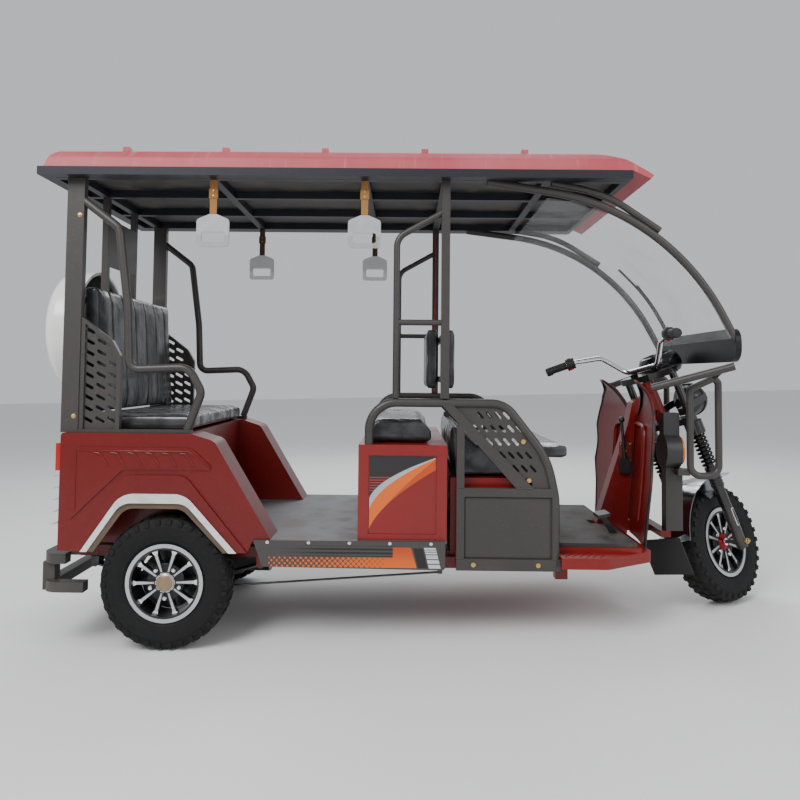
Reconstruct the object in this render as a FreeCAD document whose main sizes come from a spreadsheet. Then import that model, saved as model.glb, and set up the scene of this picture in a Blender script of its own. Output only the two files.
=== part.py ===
"""Auto rickshaw: an open three-wheeled passenger vehicle with a hard roof.

Units are millimetres, +X forward, +Y to the vehicle's left, +Z up. The bodywork is drawn level
and then tipped nose down about the rear axle, as the vehicle stands on its wheels. The steered
parts are drawn straight ahead in the fork's own frame, with Z up the steering axis, and are then
turned to the left as the vehicle is parked.
"""
import FreeCAD, Part
import math
import os
import re
import Sketcher
from FreeCAD import Placement, Rotation, Vector

os.makedirs("parts", exist_ok=True)
doc = FreeCAD.newDocument("auto_rickshaw")

# Driving dimensions. Names ending in _x, _y and _z are places, the others are sizes.
SIZES = {
    # stance
    "origin_shift": -23.15,
    "rear_axle_x": -886,
    "rear_axle_z": 240,
    "nose_down": 1.58,
    "half_track": 430,
    "foot_x": 1293,
    "foot_z": 231.5,
    "rake": 20,
    "steer_turn": 38,
    "seat_gap": 0.3,
    # wheels
    "tyre_diameter": 480,
    "tyre_width": 115,
    "tread_width": 84,
    "shoulder_drop": 9,
    "side_height": 186,
    "rim_diameter": 282,
    "bead_diameter": 254,
    "bead_width": 86,
    "rim_lip": 7,
    "rim_wall": 7,
    "hub_diameter": 66,
    "hub_face": 36,
    "hub_cap": 46,
    "drum_diameter": 168,
    "drum_face": 46,
    "drum_back": 18,
    "spoke_count": 10,
    "spoke_root": 16,
    "spoke_tip": 12,
    "spoke_outside": 38,
    "spoke_depth": 24,
    "bearing_gap": 0.5,
    "shaft_end": 30,
    "rear_shaft": 26,
    "front_shaft": 16,
    # ladder chassis with the steering neck
    "rail_top_z": 338,
    "rail_depth": 40,
    "rail_width": 40,
    "rail_y": 300,
    "rail_rear_x": -1262,
    "rail_front_x": 868,
    "side_rail_rear_x": -560,
    "side_rail_front_x": 578,
    "cross_tail_x": -1242,
    "cross_bench_x": -185,
    "cross_pillar_x": 115,
    "cross_driver_x": 470,
    "cross_nose_x": 740,
    "stand_foot": 45,
    "stand_foot_z": 262,
    "neck_half": 34,
    "neck_rear_x": 764,
    "neck_front_x": 916,
    "neck_bend_x": 960,
    "neck_bend_z": 845,
    "neck_head_x": 1058,
    "neck_head_z": 866,
    "neck_crown_x": 1034,
    "neck_crown_z": 938,
    "neck_back_x": 945,
    "neck_back_z": 895,
    "neck_shoulder_x": 925,
    "neck_shoulder_z": 800,
    "head_tube": 52,
    "head_low": 562,
    "head_high": 743,
    "keel_low_z": 356,
    "keel_high_z": 398,
    "keel_front_x": 990,
    "nose_bar_front_x": 1030,
    "nose_bar_low_z": 374,
    # rear axle, motor and springs
    "axle_tube": 56,
    "axle_end": 378,
    "gear_case": 170,
    "gear_case_width": 96,
    "motor_size": 150,
    "motor_start": 70,
    "motor_length": 230,
    "spring_reach": 318,
    "spring_low_z": 191,
    "spring_eye_z": 272,
    "spring_round": 600,
    "spring_eye": 30,
    "spring_width": 50,
    "leaf_count": 4,
    "leaf_thick": 7,
    "leaf_step": 66,
    # red tub over the rear wheels
    "tub_y": 490,
    "tub_wall": 20,
    "well_wall": 6,
    "tub_rear_x": -1272,
    "tub_top_z": 780,
    "tub_low_z": 356,
    "tub_front_x": -797,
    "tub_shoulder_x": -712,
    "tub_shoulder_z": 754,
    "tub_toe_x": -502,
    "tub_heel_x": -585,
    "well_y": 345,
    "arch_rear_x": -1160,
    "arch_front_x": -649,
    "arch_top_z": 531,
    "arch_top_rear_x": -1040,
    "arch_top_front_x": -810,
    "arch_bend": 70,
    "arch_trim": 34,
    "arch_trim_proud": 8,
    "flare_proud": 8,
    "flare_rear_x": -1230,
    "flare_front_x": -573,
    "flare_top_z": 630,
    "flare_top_rear_x": -1041,
    "flare_top_front_x": -814,
    "relief": 5,
    "relief_rear_x": -1226,
    "relief_top_z": 729,
    "relief_front_x": -793,
    "relief_nose_x": -706,
    "relief_low_z": 650,
    "relief_tail_z": 470,
    "riser_x": -815,
    "seat_shelf": 20,
    "tail_wall": 16,
    "louvre_count": 6,
    "louvre_low_z": 420,
    "louvre_pitch": 58,
    "louvre_reach": 30,
    "louvre_droop": 14,
    "louvre_thick": 5,
    "louvre_half": 330,
    # rear bumper and lamps
    "bumper_rear_x": -1355,
    "bumper_upper_x": -1257,
    "bumper_lower_x": -1190,
    "bumper_half": 455,
    "bumper_depth": 37,
    "bumper_upper_z": 299,
    "bumper_low_z": 196,
    "bumper_section": 44,
    "bumper_bend": 70,
    "bumper_upright_y": 400,
    "lamp_y": 430,
    "tail_lamp_z": 690,
    "tail_lamp_height": 100,
    "tail_lamp_width": 78,
    "tail_lamp_depth": 26,
    # rear frame
    "frame_y": 460,
    "pillar_width": 30,
    "rear_pillar_x": -1281,
    "rear_pillar_depth": 63,
    "window_low_z": 1262,
    "window_bar": 25,
    "window_bar_y": 150,
    "carrier_low_z": 1090,
    "carrier_half": 70,
    "carrier_post": 60,
    "sign_low_z": 1440,
    "sign_high_z": 1640,
    "sign_thick": 6,
    "deck_rail": 12,
    "deck_rail_front_x": -803,
    "guard_front_x": -1068,
    "guard_bend_x": -1100,
    "guard_bend_z": 1117,
    "guard_front_z": 1060,
    "guard_rear_z": 1207,
    "guard_thick": 5,
    "guard_edge": 16,
    "guard_edge_depth": 22,
    "guard_slot": 42,
    "guard_slot_width": 12,
    "guard_slot_lean": 28,
    "guard_slot_pitch": 44,
    "guard_slot_rise": 41,
    "guard_slot_x": -1187,
    "guard_slot_z": 826,
    "grab_tube": 31,
    "grab_top_x": -1258,
    "grab_top_z": 1666,
    "grab_bend_x": -1090,
    "grab_bend_z": 1538,
    "grab_knee_x": -1050,
    "grab_knee_z": 1240,
    "grab_dip_x": -1040,
    "grab_dip_z": 1012,
    "grab_crest_x": -820,
    "grab_crest_z": 1022,
    "grab_fore_x": -770,
    "grab_fore_z": 930,
    "grab_foot_x": -820,
    # spare wheel under its cover
    "spare_x": -1402,
    "spare_z": 1180,
    "spare_plate": 40,
    "cover_front": 62,
    "cover_shoulder": 70,
    "cover_dome": 108,
    "cover_fall": 22,
    "cover_wall": 12,
    "cover_out_mid": 150,
    # rear seat
    "seat_half": 425,
    "rear_cushion_top_z": 850,
    "rear_back_rear_x": -1250,
    "rear_back_foot_x": -1148,
    "rear_back_head_x": -1182,
    "rear_back_top_z": 1332,
    "soft_round": 25,
    # floor and sill
    "deck_thick": 10,
    "deck_rear_x": -836,
    "deck_front_x": 134,
    "deck_top_z": 404,
    "sill_y": 500,
    "sill_thick": 14,
    "sill_low_z": 304,
    "sill_rear_x": -563,
    "sill_slope": 34,
    "sill_front_x": 128,
    # red box under the bench
    "box_rear_x": -189,
    "box_front_x": 134,
    "box_y": 480,
    "box_top_z": 747,
    "box_wall": 14,
    "box_edge": 38,
    "box_recess": 5,
    "battery_margin": 60,
    "battery_top_z": 600,
    "bench_rear_x": -176,
    "bench_front_x": 88,
    "bench_chamfer": 40,
    "bench_top_z": 836,
    # driver's seat
    "driver_box_rear_x": 150,
    "driver_box_front_x": 490,
    "driver_box_y": 415,
    "driver_box_top_z": 622,
    "driver_half": 400,
    "driver_cushion_top_z": 746,
    "driver_cushion_low_z": 696,
    "driver_cushion_front_x": 604,
    "driver_lip_x": 520,
    "driver_hump_top_x": 168,
    "driver_hump_z": 828,
    "driver_hump_end_x": 240,
    # hoops, side panels, middle pillars
    "hoop_tube": 32,
    "hoop_rear_x": -152,
    "hoop_top_z": 900,
    "hoop_knee_x": 344,
    "hoop_fore_x": 500,
    "hoop_fore_z": 700,
    "hoop_foot_x": 529,
    "hoop_shin_z": 560,
    "hoop_bend": 100,
    "side_low_z": 297,
    "side_rail_top_z": 339,
    "side_rear_x": 169,
    "side_post": 28,
    "side_width": 28,
    "side_sheet": 6,
    "side_panel_inset": 5,
    "mid_rail_z": 562,
    "mid_rail_top_z": 593,
    "brace_top_x": 108,
    "brace_width_x": 41,
    "brace_foot_x": 386,
    "brace_foot_end_x": 449,
    "slot_long": 36,
    "slot_wide": 10,
    "slot_lean": 47,
    "slot_pitch": 31.5,
    "slot_rise": 48,
    "slot_step": 48,
    "slot_first_x": 256,
    "slot_first_z": 856,
    "slot_second_x": 241,
    "middle_pillar_x": 109,
    "middle_pillar_depth": 31,
    "loop_tube": 24,
    "loop_bar_tube": 22,
    "loop_top_z": 1601,
    "loop_bend_z": 1510,
    "loop_x": -56,
    "loop_bend": 60,
    "loop_cross_z": 1195,
    "back_bar": 25,
    "back_bar_low_z": 985,
    "back_bar_high_z": 1150,
    "back_half": 220,
    "back_low_z": 937,
    "back_top_z": 1198,
    "bench_back_x": 62,
    "driver_back_x": 178,
    # roof
    "roof_y": 520,
    "roof_crown_z": 1838,
    "roof_beam": 30,
    "roof_rise": 86,
    "roof_heel_drop": 15,
    "roof_brow_drop": 7,
    "roof_fall_drop": 32,
    "roof_nose_drop": 103,
    "roof_side_drop": 43,
    "roof_edge_z": "=roof_crown_z - roof_rise",
    "roof_frame_z": "=roof_edge_z - roof_beam",
    "roof_rear_x": -1355,
    "roof_heel_x": -1332,
    "roof_heel_z": "=roof_crown_z - roof_heel_drop",
    "roof_crown_x": 256,
    "roof_brow_x": 690,
    "roof_brow_z": "=roof_crown_z - roof_brow_drop",
    "roof_fall_x": 770,
    "roof_fall_z": "=roof_crown_z - roof_fall_drop",
    "roof_nose_x": 877,
    "roof_nose_z": "=roof_crown_z - roof_nose_drop",
    "roof_lip_z": "=roof_frame_z",
    "roof_lip_x": 866,
    "roof_under_x": 800,
    "roof_wall": 8,
    "roof_side_z": "=roof_crown_z - roof_side_drop",
    "roof_side_y": 505,
    "roof_shoulder_y": 450,
    "roof_round": 30,
    "liner_thick": 5,
    "eave_y": 524,
    "eave_width": 46,
    "eave_rear_x": -1374,
    "eave_front_x": 800,
    "roof_beam_y": 165,
    "cross_rear_grip_x": -742,
    "cross_front_grip_x": -178,
    "cross_brow_x": 500,
    "roof_lug": 26,
    "roof_lug_height": 12,
    "roof_lug_y": 430,
    "roof_lug_rear_x": -1080,
    "roof_lug_pitch": 375,
    "roof_lug_hole": 9,
    # windscreen
    "screen_y": 460,
    "screen_toe": 3.2,
    "screen_tube": 30,
    "screen_low_tube": 26,
    "screen_top_x": 279,
    "screen_top_z": "=roof_frame_z",
    "screen_bend_x": 960,
    "screen_bend_z": 1627,
    "screen_round": 870,
    "screen_foot_x": 1222,
    "screen_foot_z": 1134,
    "brow_top_x": 520,
    "brow_bend_x": 720,
    "brow_bend_z": 1688,
    "brow_round": 500,
    "brow_foot_x": 930,
    "brow_foot_z": 1552,
    "screen_thick": 5,
    "screen_half": 420,
    "screen_sheet_x": 509,
    "screen_sheet_z": 1690,
    "screen_lean": 0.139,
    "screen_slack": 1.1,
    "screen_hem_x": 1209,
    "screen_hem_z": 1158,
    "panel_x": 1218,
    "panel_top_z": 1188,
    "panel_low_z": 1062,
    "panel_thick": 22,
    "panel_half": 428,
    "panel_round": 50,
    # front guard
    "guard_y": 280,
    "stay_tube": 30,
    "stay_rear_x": 943,
    "stay_rear_z": 960,
    "stay_rear_y": 283,
    "stay_front_x": 1216,
    "stay_front_z": 1046,
    "stay_front_y": 397,
    "bull_tube": 27,
    "bull_rear_x": 1092,
    "bull_front_x": 1203,
    "bull_top_z": 1008,
    "bull_rear_z": 956,
    "bull_low_z": 620,
    "bull_bend": 42,
    "post_x": 1012,
    "post_depth": 66,
    "post_width": 50,
    "post_y": 212,
    "post_top_z": 645,
    "signal_size": 134,
    "signal_length": 74,
    "signal_x": 999,
    "signal_y": 228,
    "signal_ring": 12,
    "relay_top_z": 862,
    # shield, step and floor in front
    "shield_foot_x": 926,
    "shield_belly_x": 950,
    "shield_belly_z": 600,
    "shield_chest_x": 966,
    "shield_chest_z": 874,
    "shield_brow_x": 948,
    "shield_brow_z": 950,
    "shield_tip_x": 904,
    "shield_side_drop": 54,
    "shield_half": 402,
    "shield_thick": 6,
    "shield_top_z": 990,
    "shield_notch_half": 42,
    "shield_notch_z": 842,
    "shield_lobe_y": 235,
    "shield_keel_z": 402,
    "step_thick": 40,
    "step_y": 500,
    "step_inner_y": 415,
    "step_rear_x": 140,
    "step_taper_x": 712,
    "step_nose_x": 905,
    "step_nose_y": 380,
    "step_low_z": 312,
    "step_wall": 6,
    "tread_rear_x": 548,
    "tread_front_x": 858,
    "tread_y": 415,
    "tread_rise": 18,
    "mat_thick": 14,
    "mat_margin": 12,
    "step_hole": 13,
    "step_hole_pitch": 25,
    "step_hole_x": 566,
    "step_hole_y": 438,
    "step_row": 20,
    "pedal_x": 764,
    "pedal_y": -215,
    "pedal_z": 452,
    "pedal_long": 46,
    "pedal_wide": 80,
    "pedal_thick": 12,
    "pedal_arm": 14,
    "lever_base_x": 907,
    "lever_base_y": -52,
    "lever_low_z": 640,
    "lever_top_x": 893,
    "lever_top_z": 822,
    "lever_rod": 12,
    "lever_knob": 26,
    # hanging hand grips
    "grip_y": 460,
    "grip_width": 122,
    "grip_height": 122,
    "grip_thick": 7,
    "strap_long": 130,
    "grip_top_z": "=roof_frame_z - strap_long",
    "grip_border": 18,
    "grip_slot_height": 38,
    "grip_neck": 30,
    "strap_width": 26,
    "strap_thick": 4,
    # steered parts, in the fork's frame
    "wheel_lead": 28,
    "leg_y": 113,
    "slider": 44,
    "slider_low": -26,
    "slider_top": 240,
    "boot_top": 330,
    "boot": 50,
    "stanchion": 32,
    "coil_top": 477.4,
    "coil_outside": 62,
    "coil_wire": 9,
    "coil_turns": 8,
    "cup_high": 530,
    "cup": 76,
    "crown_thick": 26,
    "crown_half": 133,
    "crown_rear": 30,
    "crown_front": 52,
    "top_crown_z": 749,
    "stem": 36,
    "fender_gap": 30,
    "fender_width": 132,
    "fender_thick": 4,
    "fender_front": 62,
    "fender_rear": 155,
    "fender_stay_low": 200,
    "fender_boss": 25,
    "flap_back": 312,
    "flap_width": 180,
    "flap_low": 17,
    "flap_high": 166,
    "flap_thick": 5,
    "flap_arm_half": 45,
    "bar_tube": 22,
    "bar_end_x": -185,
    "bar_end_y": 330,
    "bar_end_z": 925,
    "bar_root_x": -100,
    "bar_root_y": 240,
    "bar_root_z": 922,
    "bar_bend_x": -30,
    "bar_bend_y": 158,
    "bar_bend_z": 900,
    "bar_low_y": 78,
    "bar_low_z": 800,
    "bar_bend_round": 45,
    "riser_x_half": 16,
    "bar_riser_y": 50,
    "handgrip": 34,
    "handgrip_long": 80,
    "switch_size": 50,
    "switch_long": 36,
    "pod_size": 146,
    "pod_depth": 70,
    "pod_ahead": 135,
    "pod_low": 736,
    "pod_arm": 20,
    "lamp_size": 150,
    "lamp_rim": 16,
    "lamp_bowl": 92,
    "lamp_face": 264,
    "lamp_along": 580,
    "lamp_ear": 6,
    "lamp_ear_height": 30,
}
sheet = doc.addObject("Spreadsheet::Sheet", "Sizes")
for row, (alias, value) in enumerate(SIZES.items(), start=1):
    sheet.set(f"A{row}", alias)
    sheet.set(f"B{row}", str(value))
    sheet.setAlias(f"B{row}", alias)
doc.recompute()


def link(text):
    """The expression with the sheet's name set before each of its cells."""
    def cell(word):
        return "Sizes." + word.group() if word.group() in SIZES else word.group()
    return re.sub(r"[a-z]\w+", cell, str(text))


def num(text):
    """The number that an expression on the sheet gives now."""
    return float(sheet.evalExpression(link(text)))


# Where each group of pieces stands: the tipped bodywork, and the turned fork.
TIPPED = link("create(<<placement>>; create(<<vector>>; origin_shift; 0; 0);"
              " create(<<rotation>>; create(<<vector>>; 0; 1; 0); nose_down);"
              " create(<<vector>>; rear_axle_x; 0; rear_axle_z))")
TURNED = link("create(<<placement>>; create(<<vector>>; foot_x + origin_shift; 0; foot_z);"
              " create(<<rotation>>; create(<<vector>>; 0; 1; 0); 0 - rake))"
              " * create(<<placement>>; create(<<vector>>; 0; 0; 0);"
              " create(<<rotation>>; create(<<vector>>; 0; 0; 1); steer_turn))")
nodes = []


def node(label, item, stands=TIPPED):
    """Keep a finished piece under its own name, at its place."""
    item.Label = label
    if stands:
        item.setExpression("Placement", stands)
    nodes.append(item)
    return item


def at(x, y, z, turn="0"):
    """A place, turned about the upright axis, as an expression."""
    return link(f"create(<<placement>>; create(<<vector>>; {x}; {y}; {z});"
                f" create(<<rotation>>; create(<<vector>>; 0; 0; 1); {turn}))")


def datum(body, role):
    return next(face for face in body.Origin.OriginFeatures if face.Role == role)


def new_sketch(body, name, role, offset):
    """A sketch on one of the body's own planes, moved along the plane's normal."""
    sketch = body.newObject("Sketcher::SketchObject", name)
    sketch.AttachmentSupport = [(datum(body, role), "")]
    sketch.MapMode = "FlatFace"
    sketch.setExpression(".AttachmentOffset.Base.z", link(offset))
    return sketch


def drive(sketch, kind, *where):
    """Add a driving constraint whose last argument is an expression on the sheet."""
    *targets, text = where
    index = sketch.addConstraint(Sketcher.Constraint(kind, *targets, num(text)))
    sketch.setExpression(f"Constraints[{index}]", link(text))


def trace(sketch, points, closed):
    """Straight edges between corners (u, v) or (u, v, radius), with an arc at each radius."""
    count = len(points)
    rounds = [point[2] if len(point) > 2 else None for point in points]
    corner = [Vector(num(point[0]), num(point[1]), 0) for point in points]
    marks = []
    for point, place in zip(points, corner):
        marks.append(sketch.addGeometry(Part.Point(place), True))
        drive(sketch, "DistanceX", marks[-1], 1, point[0])
        drive(sketch, "DistanceY", marks[-1], 1, point[1])
    bends = {}
    for i, radius in enumerate(rounds):
        if radius is None:
            continue
        back = (corner[i - 1] - corner[i]).normalize()
        ahead = (corner[(i + 1) % count] - corner[i]).normalize()
        half = back.getAngle(ahead) / 2
        reach = num(radius) / math.tan(half)
        centre = corner[i] + (back + ahead).normalize() * (num(radius) / math.sin(half))
        bends[i] = (corner[i] + back * reach, centre, corner[i] + ahead * reach)
    edges = []
    for i in range(count if closed else count - 1):
        j = (i + 1) % count
        start = bends[i][2] if i in bends else corner[i]
        end = bends[j][0] if j in bends else corner[j]
        edges.append(sketch.addGeometry(Part.LineSegment(start, end)))
        for k, tip in ((i, 1), (j, 2)):
            if k in bends:
                sketch.addConstraint(Sketcher.Constraint("PointOnObject", marks[k], 1, edges[-1]))
            else:
                sketch.addConstraint(Sketcher.Constraint("Coincident", edges[-1], tip, marks[k], 1))
    for i, (start, centre, end) in bends.items():
        circle = Part.Circle(centre, Vector(0, 0, 1), num(rounds[i]))
        angles = [math.atan2(tip.y - centre.y, tip.x - centre.x) for tip in (start, end)]
        left = (start - corner[i]).cross(end - corner[i]).z < 0
        first = 1 if left else 2
        arc = sketch.addGeometry(Part.ArcOfCircle(circle, *(angles if left else angles[::-1])))
        sketch.addConstraint(Sketcher.Constraint("Tangent", edges[i - 1], 2, arc, first))
        sketch.addConstraint(Sketcher.Constraint("Tangent", arc, 3 - first, edges[i], 1))
        drive(sketch, "Radius", arc, rounds[i])


# The plane that each view is drawn on, the sign of its normal, and whether a pad is turned back.
VIEWS = {"side": ("XZ_Plane", "0 - ", True), "plan": ("XY_Plane", "", False),
         "front": ("YZ_Plane", "", False)}


def prism(label, view, span, points):
    """A closed outline in one view, made solid across the span."""
    role, sign, back = VIEWS[view]
    body = doc.addObject("PartDesign::Body", label)
    outline = new_sketch(body, label + "_outline", role, f"{sign}({span[0]})")
    trace(outline, points, closed=True)
    pad = body.newObject("PartDesign::Pad", label + "_pad")
    pad.Profile = outline
    pad.Reversed = back
    pad.setExpression("Length", link(f"({span[1]}) - ({span[0]})"))
    body.Tip = pad
    return body


def tube(label, view, place, points, size, closed=False):
    """A round tube along a bent line that lies in one view."""
    role, sign, _ = VIEWS[view]
    body = doc.addObject("PartDesign::Body", label)
    line = new_sketch(body, label + "_line", role, f"{sign}({place})")
    trace(line, points, closed)
    ring = body.newObject("Sketcher::SketchObject", label + "_ring")
    ring.AttachmentSupport = [(line, "Edge1")]
    ring.MapMode = "NormalToEdge"
    circle = ring.addGeometry(Part.Circle(Vector(0, 0, 0), Vector(0, 0, 1), num(size) / 2))
    ring.addConstraint(Sketcher.Constraint("Coincident", circle, 3, -1, 1))
    drive(ring, "Diameter", circle, size)
    pipe = body.newObject("PartDesign::AdditivePipe", label + "_pipe")
    pipe.Profile = ring
    pipe.Spine = line
    body.Tip = pipe
    return body


def turned(label, points, role="XY_Plane"):
    """A closed outline of (radius, place) turned about the upright axis of its sketch."""
    body = doc.addObject("PartDesign::Body", label)
    outline = new_sketch(body, label + "_outline", role, "0")
    trace(outline, points, closed=True)
    revolution = body.newObject("PartDesign::Revolution", label + "_turned")
    revolution.Profile = outline
    revolution.ReferenceAxis = (outline, ["V_Axis"])
    revolution.Angle = 360
    body.Tip = revolution
    return body


def box(label, x, y, z):
    """A block between three pairs of low and high places."""
    item = doc.addObject("Part::Box", label)
    for side, axis, (low, high) in zip(("Length", "Width", "Height"), "xyz", (x, y, z)):
        item.setExpression(side, link(f"({high}) - ({low})"))
        item.setExpression(f".Placement.Base.{axis}", link(low))
    return item


AXES = {"x": Rotation(Vector(0, 1, 0), 90), "y": Rotation(Vector(1, 0, 0), -90), "z": Rotation()}


def rod(label, axis, size, centre, span):
    """A round bar along one axis, by its diameter, the place of its axis and its two ends."""
    item = doc.addObject("Part::Cylinder", label)
    item.setExpression("Radius", link(f"({size}) / 2"))
    item.setExpression("Height", link(f"({span[1]}) - ({span[0]})"))
    item.Placement = Placement(Vector(), AXES[axis])
    across = [name for name in "xyz" if name != axis]
    for name, place in zip(across, centre):
        item.setExpression(f".Placement.Base.{name}", link(place))
    item.setExpression(f".Placement.Base.{axis}", link(span[0]))
    return item


def bar(label, size, start, end):
    """A straight round bar between two points in space."""
    item = doc.addObject("Part::Feature", label)
    first, last = (Vector(*(num(place) for place in point)) for point in (start, end))
    item.Shape = Part.makeCylinder(num(size) / 2, (last - first).Length, first, last - first)
    return item


def fuse(label, *items):
    item = doc.addObject("Part::MultiFuse", label)
    item.Shapes = list(items)
    item.Refine = True
    return item


def cut(label, base, tool):
    item = doc.addObject("Part::Cut", label)
    item.Base = base
    item.Tool = tool
    return item


def common(label, *items):
    item = doc.addObject("Part::MultiCommon", label)
    item.Shapes = list(items)
    return item


def mirrored(item):
    """The same piece on the vehicle's other side."""
    other = doc.addObject("Part::Mirroring", item.Name + "_mirrored")
    other.Source = item
    other.Normal = (0, 1, 0)
    return other


def group(label, *items):
    item = doc.addObject("Part::Compound", label)
    item.Links = list(items)
    return item


def pair(label, item):
    return group(label, item, mirrored(item))


def bent(label, size, points, radius):
    """A round tube along a line that is bent in space, with the same radius at every bend."""
    corner = [Vector(*(num(place) for place in point)) for point in points]
    edges, start = [], corner[0]
    for before, here, after in zip(corner, corner[1:], corner[2:]):
        back, ahead = (before - here).normalize(), (after - here).normalize()
        half = back.getAngle(ahead) / 2
        reach = num(radius) / math.tan(half)
        middle = here + (back + ahead).normalize() * num(radius) * (1 / math.sin(half) - 1)
        edges.append(Part.LineSegment(start, here + back * reach).toShape())
        start = here + ahead * reach
        edges.append(Part.Arc(here + back * reach, middle, start).toShape())
    edges.append(Part.LineSegment(start, corner[-1]).toShape())
    ring = Part.Circle(corner[0], corner[1] - corner[0], num(size) / 2).toShape()
    item = doc.addObject("Part::Feature", label)
    item.Shape = Part.Wire(edges).makePipeShell([Part.Wire([ring])], True, False)
    return item


def slots(label, rows, size, width, lean, across):
    """Slanted slots with pointed ends at (x, z), running down to the front, as one cutting tool."""
    cuts = []
    for count, (x, z) in enumerate(rows):
        outline = []
        for along, aside in ((-1, 0), (-0.75, 1), (0.75, 1), (1, 0), (0.75, -1), (-0.75, -1)):
            reach, rise = f"{along} * {size} / 2", f"{aside} * {width} / 2"
            outline.append((f"{x} + {reach} * cos({lean}) + {rise} * sin({lean})",
                            f"{z} - {reach} * sin({lean}) + {rise} * cos({lean})"))
        cuts.append(prism(f"{label}_{count}", "side", across, outline))
    return group(label, *cuts)


def frame_ring(label, view, span, outer, inner):
    """A flat ring between two outlines in one view."""
    return cut(label, prism(label + "_outer", view, span, outer), prism(label + "_inner", view, span, inner))


# Wheels: each tyre and rim is turned about Y, with the wheel's outside facing -Y.
def tyre(name):
    crown = "tyre_diameter / 2"
    half = "tyre_width / 2"
    return turned(name, [
        ("bead_diameter / 2", "0 - bead_width / 2"),
        ("rim_diameter / 2", "0 - bead_width / 2"),
        ("side_height", "0 - " + half, "24"),
        (crown + " - shoulder_drop", "0 - tread_width / 2 - shoulder_drop", "10"),
        (crown, "0 - tread_width / 4"),
        (crown, "tread_width / 4"),
        (crown + " - shoulder_drop", "tread_width / 2 + shoulder_drop", "10"),
        ("side_height", half, "24"),
        ("rim_diameter / 2", "bead_width / 2"),
        ("bead_diameter / 2", "bead_width / 2"),
    ])


def revolve(body, sketch, name):
    revolution = body.newObject("PartDesign::Revolution", name)
    revolution.Profile = sketch
    revolution.ReferenceAxis = (sketch, ["V_Axis"])
    revolution.Angle = 360
    return revolution


def rim(name, hub):
    """Hub, ten spokes and the well that the tyre sits on."""
    body = doc.addObject("PartDesign::Body", name)
    centre = new_sketch(body, name + "_hub_line", "XY_Plane", "0")
    trace(centre, hub, closed=True)
    revolve(body, centre, name + "_hub")
    blade = new_sketch(body, name + "_spoke_line", "XZ_Plane", "spoke_outside")
    root, tip = "hub_diameter / 2 - 6", "bead_diameter / 2 - rim_wall + 2"
    trace(blade, [(root, "0 - spoke_root / 2"), (tip, "0 - spoke_tip / 2"),
                  (tip, "spoke_tip / 2"), (root, "spoke_root / 2")], closed=True)
    spoke = body.newObject("PartDesign::Pad", name + "_spoke")
    spoke.Profile = blade
    spoke.Reversed = True
    spoke.setExpression("Length", link("spoke_depth"))
    spokes = body.newObject("PartDesign::PolarPattern", name + "_spokes")
    spokes.Originals = [spoke]
    spokes.Axis = (blade, ["N_Axis"])
    spokes.Angle = 360
    spokes.setExpression("Occurrences", link("spoke_count"))
    body.Tip = spokes
    well = new_sketch(body, name + "_well_line", "XY_Plane", "0")
    seat, inside = "bead_diameter / 2 - seat_gap", "bead_diameter / 2 - rim_wall"
    near, far = "bead_width / 2 + seat_gap", "bead_width / 2 + rim_lip"
    lip = "rim_diameter / 2"
    trace(well, [(inside, "0 - (" + far + ")"), (lip, "0 - (" + far + ")"), (lip, "0 - (" + near + ")"),
                 (seat, "0 - (" + near + ")"), (seat, near), (lip, near), (lip, far), (inside, far)],
          closed=True)
    body.Tip = revolve(body, well, name + "_well")
    return body


REAR_WHEEL = at("rear_axle_x + origin_shift", "0 - half_track", "rear_axle_z")
FRONT_WHEEL = TURNED + " * " + at("wheel_lead", "0", "0")
blind_hub = [("0", "0 - hub_cap"), ("hub_diameter / 4", "0 - hub_cap"), ("hub_diameter / 2", "0 - hub_face"),
             ("hub_diameter / 2", "drum_back"), ("drum_diameter / 2", "drum_back"),
             ("drum_diameter / 2", "drum_face"), ("rear_shaft / 2 + bearing_gap", "drum_face"),
             ("rear_shaft / 2 + bearing_gap", "0 - shaft_end"), ("0", "0 - shaft_end")]
open_hub = [("front_shaft / 2 + bearing_gap", "0 - hub_cap"), ("hub_diameter / 4", "0 - hub_cap"),
            ("hub_diameter / 2", "0 - hub_face"), ("hub_diameter / 2", "drum_back"),
            ("drum_diameter / 2", "drum_back"), ("drum_diameter / 2", "drum_face"),
            ("front_shaft / 2 + bearing_gap", "drum_face")]
rear_tyre = node("tyre_rear_right", tyre("tyre_right"), REAR_WHEEL)
rear_rim = node("rim_rear_right", rim("rim_right", blind_hub), REAR_WHEEL)
node("tyre_rear_left", mirrored(rear_tyre), None)
node("rim_rear_left", mirrored(rear_rim), None)
node("tyre_front", tyre("tyre_steered"), FRONT_WHEEL)
node("rim_front", rim("rim_steered", open_hub), FRONT_WHEEL)

# Ladder chassis with the steering neck and head tube at its nose.
rail_z = ("rail_top_z - rail_depth", "rail_top_z")


def cross_rail(name, place, half):
    return box(name, (place + " - rail_width / 2", place + " + rail_width / 2"), (f"0 - {half}", half),
               rail_z)


main_rail = box("main_rail", ("rail_rear_x", "rail_front_x"),
                ("0 - rail_y - rail_width / 2", "0 - rail_y + rail_width / 2"), rail_z)
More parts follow.
